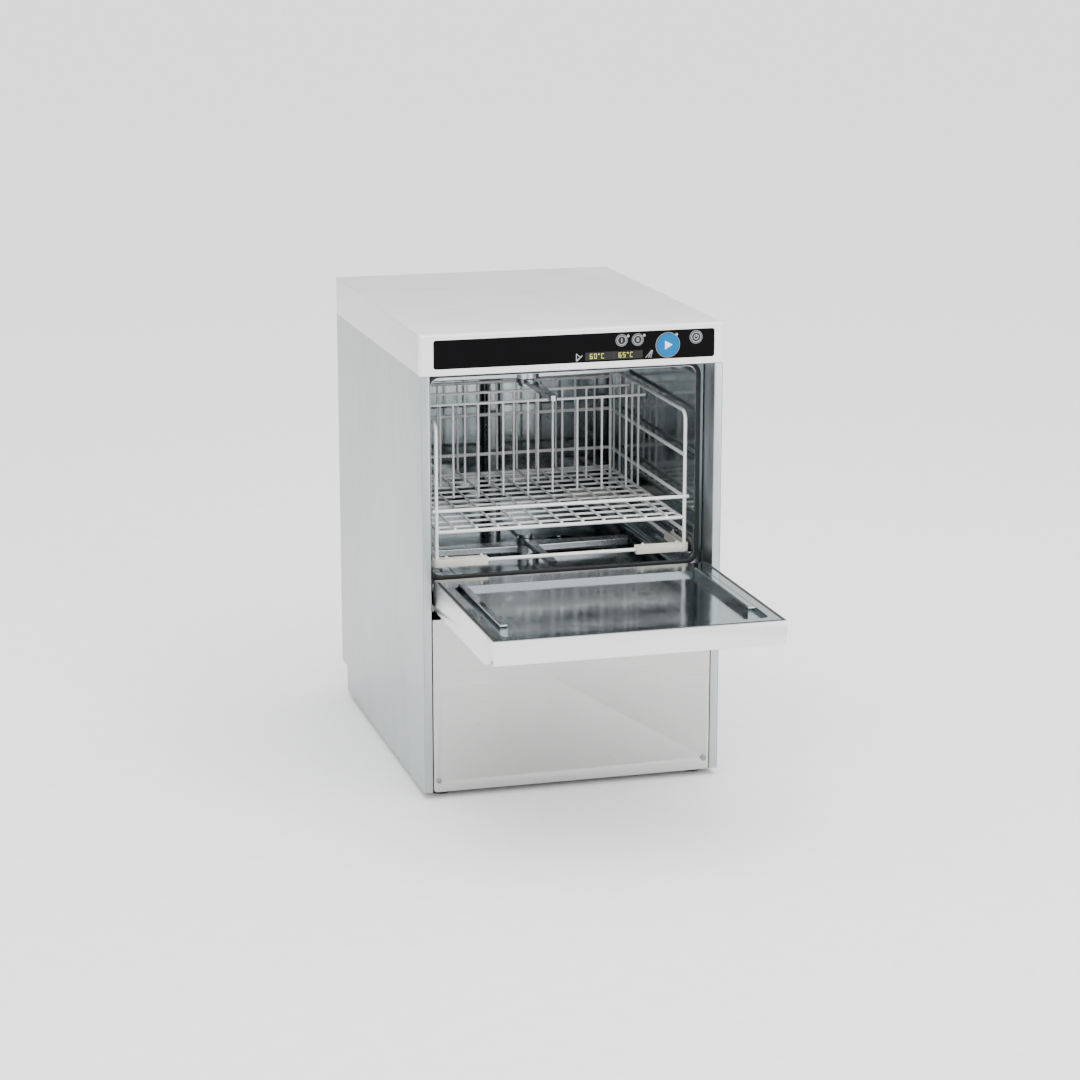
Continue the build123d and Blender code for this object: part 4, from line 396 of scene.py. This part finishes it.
def display_digits():
    low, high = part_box("display_window")
    y = low.y - PRINT
    built = bmesh.new()
    z = low.z + 2.2 * MM
    tall = 7.6 * MM
    digit_size = (4.2 * MM, tall, 6.4 * MM)
    degree_size = (2.2 * MM, 3.4 * MM, 4.6 * MM)
    for start, marks in ((low.x + 7 * MM, "60oC"), (low.x + 51 * MM, "65oC")):
        x = start
        for mark in marks:
            wide, mark_high, pitch = degree_size if mark == "o" else digit_size
            digit(built, mark, x, z + tall - mark_high, wide, mark_high, y)
            x += pitch
    from_bmesh("display_digits", built, segment_glow, "cabinet")
    built = bmesh.new()
    x_mid = (low.x + high.x) / 2
    plate(built, x_mid - 0.4 * MM, low.z + 1 * MM, x_mid + 0.4 * MM, high.z - 1 * MM, y)
    from_bmesh("display_divider", built, hole_shade_and_divider_print, "cabinet")


# ---------------------------------------------------------------- folded sheet edges
def evaluated_mesh(host):
    """The host's finished mesh; the host and its modifiers are then thrown away."""
    ready = host.evaluated_get(bpy.context.evaluated_depsgraph_get())
    mesh = bpy.data.meshes.new_from_object(ready)
    bpy.data.objects.remove(host)
    return mesh


def soft_edged(node, body, finish, radius):
    """The node's sheet with its sharp folds and cut edges rounded off, in place of the plain node."""
    built = bmesh.new()
    built.from_mesh(nodes[node].data)
    bmesh.ops.remove_doubles(built, verts=built.verts, dist=0.00001)
    bmesh.ops.dissolve_limit(built, angle_limit=math.radians(0.5), verts=built.verts, edges=built.edges)
    mesh = bpy.data.meshes.new(node + "_sheet")
    built.to_mesh(mesh)
    built.free()
    mesh.shade_smooth()
    host = bpy.data.objects.new(node + "_host", mesh)
    bpy.context.scene.collection.objects.link(host)
    bevel = host.modifiers.new("rounded_edges", "BEVEL")
    bevel.width = radius
    bevel.segments = 2
    bevel.limit_method = "ANGLE"
    bevel.angle_limit = math.radians(38)
    bevel.harden_normals = True
    piece = lay(node + "_sheet", evaluated_mesh(host), finishes[finish], body)
    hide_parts(node)


# node, body, finish and edge radius in millimetres
SOFT_EDGES = (
    ("left_side_panel", "cabinet", "cabinet_steel", 0.40),
    ("right_side_panel", "cabinet", "cabinet_steel", 0.40),
    ("front_posts", "cabinet", "cabinet_steel", 0.40),
    ("top_cover", "cabinet", "top_steel", 0.45),
    ("front_service_panel", "cabinet", "front_steel", 0.40),
    ("door_outer_panel", "door", "door_steel", 0.40),
    ("rear_panel", "cabinet", "cabinet_steel", 0.35),
    ("rack_shoes", "rack", "shoe_cream", 0.80),
    ("hinge_brackets", "cabinet", "bracket_steel", 0.40))


# ---------------------------------------------------------------- small repeated pieces
def new_tree(name, sizes):
    """An empty geometry tree with one named input for each size."""
    tree = bpy.data.node_groups.new(name, "GeometryNodeTree")
    tree.interface.new_socket("Geometry", in_out="INPUT", socket_type="NodeSocketGeometry")
    for label, kind in sizes:
        tree.interface.new_socket(label, in_out="INPUT", socket_type=kind)
    tree.interface.new_socket("Geometry", in_out="OUTPUT", socket_type="NodeSocketGeometry")
    return tree, tree.nodes.new("NodeGroupInput").outputs, tree.nodes.new("NodeGroupOutput").inputs


def wire(tree, kind, links, **settings):
    made = tree.nodes.new(kind)
    for key, value in settings.items():
        setattr(made, key, value)
    for socket, source in links.items():
        if isinstance(source, bpy.types.NodeSocket):
            tree.links.new(source, made.inputs[socket])
        else:
            made.inputs[socket].default_value = source
    return made.outputs


def placed_everywhere(tree, given, out, shape, turn=(0, 0, 0), scale=(1, 1, 1)):
    """One shape on every point, made real and given the finish."""
    links = {"Points": given["Geometry"], "Instance": shape, "Rotation": turn, "Scale": scale}
    spread = wire(tree, "GeometryNodeInstanceOnPoints", links)
    real = wire(tree, "GeometryNodeRealizeInstances", {"Geometry": spread["Instances"]})
    done = wire(tree, "GeometryNodeSetMaterial", {"Geometry": real["Geometry"], "Material": given["Finish"]})
    tree.links.new(done["Geometry"], out["Geometry"])
    return tree


def bead_tree():
    """Weld beads: small flattened blobs, each a little different in size."""
    sizes = (("Radius", "NodeSocketFloat"), ("Stretch", "NodeSocketVector"), ("Finish", "NodeSocketMaterial"))
    tree, given, out = new_tree("weld_beads", sizes)
    blob = wire(tree, "GeometryNodeMeshIcoSphere", {"Radius": given["Radius"], "Subdivisions": 2})
    smooth = wire(tree, "GeometryNodeSetShadeSmooth", {"Geometry": blob["Mesh"]})
    uneven = wire(tree, "FunctionNodeRandomValue", {"Min": 0.85, "Max": 1.12, "Seed": 7}, data_type="FLOAT")
    uneven_size = [socket for socket in uneven if socket.type == "VALUE"][0]
    size = wire(tree, "ShaderNodeVectorMath", {0: given["Stretch"], "Scale": uneven_size}, operation="SCALE")
    return placed_everywhere(tree, given, out, smooth["Geometry"], scale=size["Vector"])


def jet_tree():
    """Spray jets: a turned collar with a smaller nipple on it."""
    sizes = (("Radius", "NodeSocketFloat"), ("Height", "NodeSocketFloat"), ("Finish", "NodeSocketMaterial"))
    tree, given, out = new_tree("spray_jets", sizes)
    waist = wire(tree, "ShaderNodeMath", {0: given["Radius"], 1: 0.78}, operation="MULTIPLY")["Value"]
    tip = wire(tree, "ShaderNodeMath", {0: given["Radius"], 1: 0.5}, operation="MULTIPLY")["Value"]
    collar = {"Vertices": 20, "Radius Bottom": given["Radius"], "Radius Top": waist, "Depth": given["Height"]}
    collar = wire(tree, "GeometryNodeMeshCone", collar)
    nipple = {"Vertices": 20, "Radius Bottom": tip, "Radius Top": tip, "Depth": given["Height"]}
    nipple = wire(tree, "GeometryNodeMeshCone", nipple)
    lift = wire(tree, "ShaderNodeCombineXYZ", {"Z": given["Height"]})["Vector"]
    raised = wire(tree, "GeometryNodeTransform", {"Geometry": nipple["Mesh"], "Translation": lift})
    joined = tree.nodes.new("GeometryNodeJoinGeometry")
    for part in (collar["Mesh"], raised["Geometry"]):
        tree.links.new(part, joined.inputs["Geometry"])
    return placed_everywhere(tree, given, out, joined.outputs["Geometry"])


def hole_tree():
    """Punched holes: dark sunk discs on a square pitch, their darkness painted shade for the hollow under
    each hole.
    """
    sizes = (("Radius", "NodeSocketFloat"), ("Finish", "NodeSocketMaterial"))
    tree, given, out = new_tree("punched_holes", sizes)
    disc = wire(tree, "GeometryNodeMeshCircle", {"Vertices": 10, "Radius": given["Radius"]}, fill_type="NGON")
    return placed_everywhere(tree, given, out, disc["Mesh"])


def ring_tree():
    """Turned rings stood along a pipe, such as the barbs of a spigot or the crests of a thread."""
    lengths = (("Radius", "NodeSocketFloat"), ("Thickness", "NodeSocketFloat"))
    sizes = (*lengths, ("Finish", "NodeSocketMaterial"))
    tree, given, out = new_tree("turned_rings", sizes)
    loop = wire(tree, "GeometryNodeCurvePrimitiveCircle", {"Radius": given["Radius"], "Resolution": 48})
    wall = wire(tree, "GeometryNodeCurvePrimitiveCircle", {"Radius": given["Thickness"], "Resolution": 8})
    hoop = wire(tree, "GeometryNodeCurveToMesh", {"Curve": loop["Curve"], "Profile Curve": wall["Curve"]})
    smooth = wire(tree, "GeometryNodeSetShadeSmooth", {"Geometry": hoop["Mesh"]})
    return placed_everywhere(tree, given, out, smooth["Geometry"], turn=(math.radians(90), 0, 0))


def repeated(name, tree, places, body, finish, material, **sizes):
    """Lays the tree's shape at every place, as one plain mesh on one body."""
    mesh = bpy.data.meshes.new(name)
    mesh.from_pydata([tuple(place) for place in places], [], [])
    host = bpy.data.objects.new(name + "_host", mesh)
    bpy.context.scene.collection.objects.link(host)
    grow = host.modifiers.new(name, "NODES")
    grow.node_group = tree
    sockets = {item.name: item.identifier for item in tree.interface.items_tree if item.in_out == "INPUT"}
    for label, value in sizes.items():
        grow[sockets[label]] = value
    grow[sockets["Finish"]] = material
    return lay(name, evaluated_mesh(host), material, body)


beads = bead_tree()
jets = jet_tree()
holes = hole_tree()
rings = ring_tree()


def box_of(node):
    low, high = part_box(node)
    return low, high, (low + high) / 2


def rack_welds():
    """Beads where the rack's wires cross: at the posts and rails, and all over the floor grid."""
    low, high, _ = box_of("rack_frame")
    left = low.x + RAIL_END
    right = high.x - RAIL_END
    front = low.y + MAIN_WIRE
    back = high.y - MAIN_WIRE
    floor_z = box_of("rack_shoes")[0].z
    levels = [floor_z + rise for rise in SIDE_RAIL_RISES] + [high.z + MAIN_WIRE - HIGH_RAIL_DROP]
    places = [(x, y, z) for x in (left, right) for y in (front, back) for z in levels]
    places += [(x, front, floor_z + FRONT_RAIL_RISE) for x in (left, right)]
    white = finishes["rack_white"]
    post = {"Radius": 3.3 * MM, "Stretch": (1, 1, 1.15)}
    repeated("rack_post_welds", beads, places, "rack", "rack_white", white, **post)
    grid_low, grid_high, middle = box_of("rack_floor_grid")
    z = middle.z + 1.0 * MM
    count = int((grid_high.x - middle.x) / GRID_PITCH)
    steps = [index * GRID_PITCH for index in range(-count, count + 1)]
    half_y = (grid_high.y - grid_low.y) / 2
    crossings = [(x, middle.y + y, z) for x in steps for y in steps if abs(y) < half_y]
    grid = {"Radius": 2.0 * MM, "Stretch": (1.1, 1.1, 0.8)}
    repeated("rack_floor_welds", beads, crossings, "rack", "rack_white", white, **grid)


def arm_jets():
    """Jets along the top of each lower spray arm; the upper arms keep theirs drawn flush."""
    wash = ("lower_wash_arm", True, 4, 3.4 * MM, 24 * MM, 11 * MM)
    rinse = ("lower_rinse_arm", False, 5, 2.2 * MM, 14 * MM, 0)
    for arm, along_x, count, radius, hub, end in (wash, rinse):
        low, high, middle = box_of(arm)
        half = (high.x - low.x) / 2 if along_x else (high.y - low.y) / 2
        step = (half - end - hub) / count
        height = 0.5 * MM
        reach = [side * (hub + step * (index + 0.65)) for index in range(count) for side in (-1, 1)]
        z = high.z - height * 0.4
        places = [(middle.x + r, middle.y, z) if along_x else (middle.x, middle.y + r, z) for r in reach]
        steel = finishes["arm_steel"]
        repeated(arm + "_jets", jets, places, arm + "_body", "arm_steel", steel, Radius=radius, Height=height)


def filter_holes():
    """Punched field of the flat tank filter, clear of its two round openings: dark discs of painted shade
    where each hole's hollow lies in shadow.
    """
    low, high, middle = box_of("tank_filter")
    basket = box_of("filter_basket")[2]
    arm_y = box_of("lower_wash_arm")[2].y
    pitch = 5.0 * MM
    margin = 12 * MM
    z = high.z + 0.04 * MM
    places = []
    for row in range(int((high.y - low.y - 2 * margin) / pitch)):
        for column in range(int((high.x - low.x - 2 * margin) / pitch)):
            x = low.x + margin + column * pitch + (row % 2) * pitch / 2
            y = low.y + margin + row * pitch
            clear_of_post = math.hypot(x - middle.x, y - arm_y) > 22 * MM
            if clear_of_post and math.hypot(x - basket.x, y - basket.y) > 40 * MM:
                places.append((x, y, z))
    # each hole is a dark disc laid on the filter: painted shade, not a cut opening
    repeated("filter_holes", holes, places, "cabinet", "polished_steel", hole_shade_and_divider_print, Radius=1.4 * MM)


def rear_rings():
    """Barbs on the drain spigot and the crests of the inlet's thread."""
    spigot = ("drain_spigot", SPIGOT_X, SPIGOT_RADIUS, 4, 5 * MM, "pump_black")
    inlet = ("water_inlet_valve", INLET_X, INLET_RADIUS, 8, 2 * MM, "valve_white")
    for node, x, radius, count, pitch, finish in (spigot, inlet):
        end_y = box_of(node)[1].y - 2 * MM
        places = [(x, end_y - index * pitch, REAR_PORT_Z) for index in range(count)]
        sizes = {"Radius": radius - 0.1 * MM, "Thickness": 0.35 * MM}
        repeated(node + "_rings", rings, places, "cabinet", finish, finishes[finish], **sizes)


def liner_gasket():
    """Thin black strip let in along the edge of the door's inner sheet."""
    low, high, _ = box_of("door_inner_liner")
    x0 = low.x + 1.0 * MM
    x1 = high.x - 1.0 * MM
    y0 = low.y + 1.0 * MM
    y1 = high.y - 12 * MM
    side = 4.5 * MM
    front = 3.0 * MM
    left_strip = (x0, x0 + side, y0, y1)
    right_strip = (x1 - side, x1, y0, y1)
    front_strip = (x0 + side, x1 - side, y0, y0 + front)
    built = bmesh.new()
    z_low = high.z - 0.1 * MM
    z_high = high.z + 0.25 * MM
    for left, right, near, far in (left_strip, right_strip, front_strip):
        outline = ((left, near), (right, near), (right, far), (left, far))
        verts = [built.verts.new((x, y, z)) for z in (z_low, z_high) for x, y in outline]
        for face in ((0, 3, 2, 1), (4, 5, 6, 7), (0, 1, 5, 4), (1, 2, 6, 5), (2, 3, 7, 6), (3, 0, 4, 7)):
            built.faces.new([verts[index] for index in face])
    from_bmesh("liner_gasket", built, finishes["seal_rubber"], "door")


def shoe_clips():
    """Upright spring tabs of the rack's shoes, which hold the base wire down."""
    low, high, _ = box_of("rack_shoes")
    built = bmesh.new()
    inset = 1.6 * MM
    z = high.z - 1.0 * MM
    for side_x in (-1, 1):
        for side_y in (-1, 1):
            corner_x = high.x if side_x > 0 else low.x
            corner_y = high.y if side_y > 0 else low.y
            for along in CLIP_PLACES:
                x = corner_x - side_x * along
                y = corner_y - side_y * inset
                clip_tab(built, x, y, z, CLIP_WIDE, CLIP_THICK)
            for along in CLIP_PLACES:
                x = corner_x - side_x * inset
                y = corner_y - side_y * along
                clip_tab(built, x, y, z, CLIP_THICK, CLIP_WIDE)
    bmesh.ops.bevel(built, geom=built.edges, offset=0.4 * MM, segments=2, affect="EDGES")
    from_bmesh("shoe_clips", built, finishes["shoe_cream"], "rack", smooth=True)


def clip_tab(built, x, y, z, size_x, size_y):
    """One tab, straight at the foot and narrowed along its longer side at the tip."""
    tip = 0.62
    levels = []
    for rise, share in ((0, 1.0), (CLIP_HIGH * 0.7, 1.0), (CLIP_HIGH, tip)):
        half_x = size_x / 2 * (share if size_x > size_y else 1)
        half_y = size_y / 2 * (share if size_y > size_x else 1)
        around = ((-1, -1), (1, -1), (1, 1), (-1, 1))
        levels.append([built.verts.new((x + sx * half_x, y + sy * half_y, z + rise)) for sx, sy in around])
    for below, above in zip(levels, levels[1:]):
        for index in range(4):
            after = (index + 1) % 4
            built.faces.new((below[index], below[after], above[after], above[index]))
    built.faces.new(levels[0][::-1])
    built.faces.new(levels[-1])


for node, body, finish, radius in SOFT_EDGES:
    soft_edged(node, body, finish, radius * MM)
rack_welds()
arm_jets()
filter_holes()
rear_rings()
liner_gasket()
shoe_clips()
key_symbols()
key_surrounds()
tank_icons()
display_digits()


# ---------------------------------------------------------------- floor, light and camera
def light_panel(name, place, target, size, power, colour=(1, 1, 1)):
    data = bpy.data.lights.new(name, "AREA")
    data.shape = "RECTANGLE"
    data.size, data.size_y = size
    data.energy = power
    data.color = colour
    holder = bpy.data.objects.new(name, data)
    bpy.context.scene.collection.objects.link(holder)
    holder.location = place
    holder.rotation_euler = (Vector(target) - Vector(place)).to_track_quat("-Z", "Y").to_euler()
    return holder


def studio():
    floor_mesh = bpy.data.meshes.new("studio_floor")
    half = 120.0
    corners = [(-half, -half, 0), (half, -half, 0), (half, half, 0), (-half, half, 0)]
    floor_mesh.from_pydata(corners, [], [(0, 1, 2, 3)])
    floor = bpy.data.objects.new("studio_floor", floor_mesh)
    white = moulded("studio_white", (0.93, 0.93, 0.93), 0.8, 40.0, 0.0001, 0.99)
    dulled(white, 0.1)
    floor_mesh.materials.append(white)
    bpy.context.scene.collection.objects.link(floor)
    world = bpy.data.worlds.new("studio_sky")
    world.use_nodes = True
    tree = world.node_tree
    back = tree.nodes["Background"]
    back.inputs["Strength"].default_value = 1.0
    way = tree.nodes.new("ShaderNodeTexCoord").outputs["Generated"]
    height = tree.nodes.new("ShaderNodeSeparateXYZ")
    tree.links.new(way, height.inputs["Vector"])
    ramp = tree.nodes.new("ShaderNodeMapRange")
    tree.links.new(height.outputs["Z"], ramp.inputs["Value"])
    for socket, value in (("From Min", -0.05), ("From Max", 0.85), ("To Min", 0.0), ("To Max", 1.0)):
        ramp.inputs[socket].default_value = value
    mix = tree.nodes.new("ShaderNodeMix")
    mix.data_type = "RGBA"
    tree.links.new(ramp.outputs["Result"], mix.inputs[0])
    mix.inputs[6].default_value = (1.02, 1.06, 1.08, 1)
    mix.inputs[7].default_value = (2.2, 2.2, 2.18, 1)
    tree.links.new(mix.outputs[2], back.inputs["Color"])
    bpy.context.scene.world = world
    light_panel("overhead_softbox", (0.2, -0.6, 3.4), (0, 0, 0.3), (3.0, 3.0), 70)
    light_panel("front_softbox", (1.6, -3.6, 1.9), (0, 0, 0.45), (2.4, 2.4), 60)
    light_panel("left_softbox", (-3.2, -1.6, 1.2), (0, 0, 0.4), (1.0, 2.2), 18, (0.92, 0.97, 1.0))


def viewpoint():
    data = bpy.data.cameras.new("viewpoint")
    data.sensor_width = 36.0
    data.lens = 95.4
    data.clip_end = 100.0
    camera = bpy.data.objects.new("viewpoint", data)
    bpy.context.scene.collection.objects.link(camera)
    camera.location = (-1.152, -4.0882, 1.3843)
    camera.rotation_euler = (math.radians(90 - 13.64), 0, math.radians(-15.54))
    bpy.context.scene.camera = camera


studio()
viewpoint()
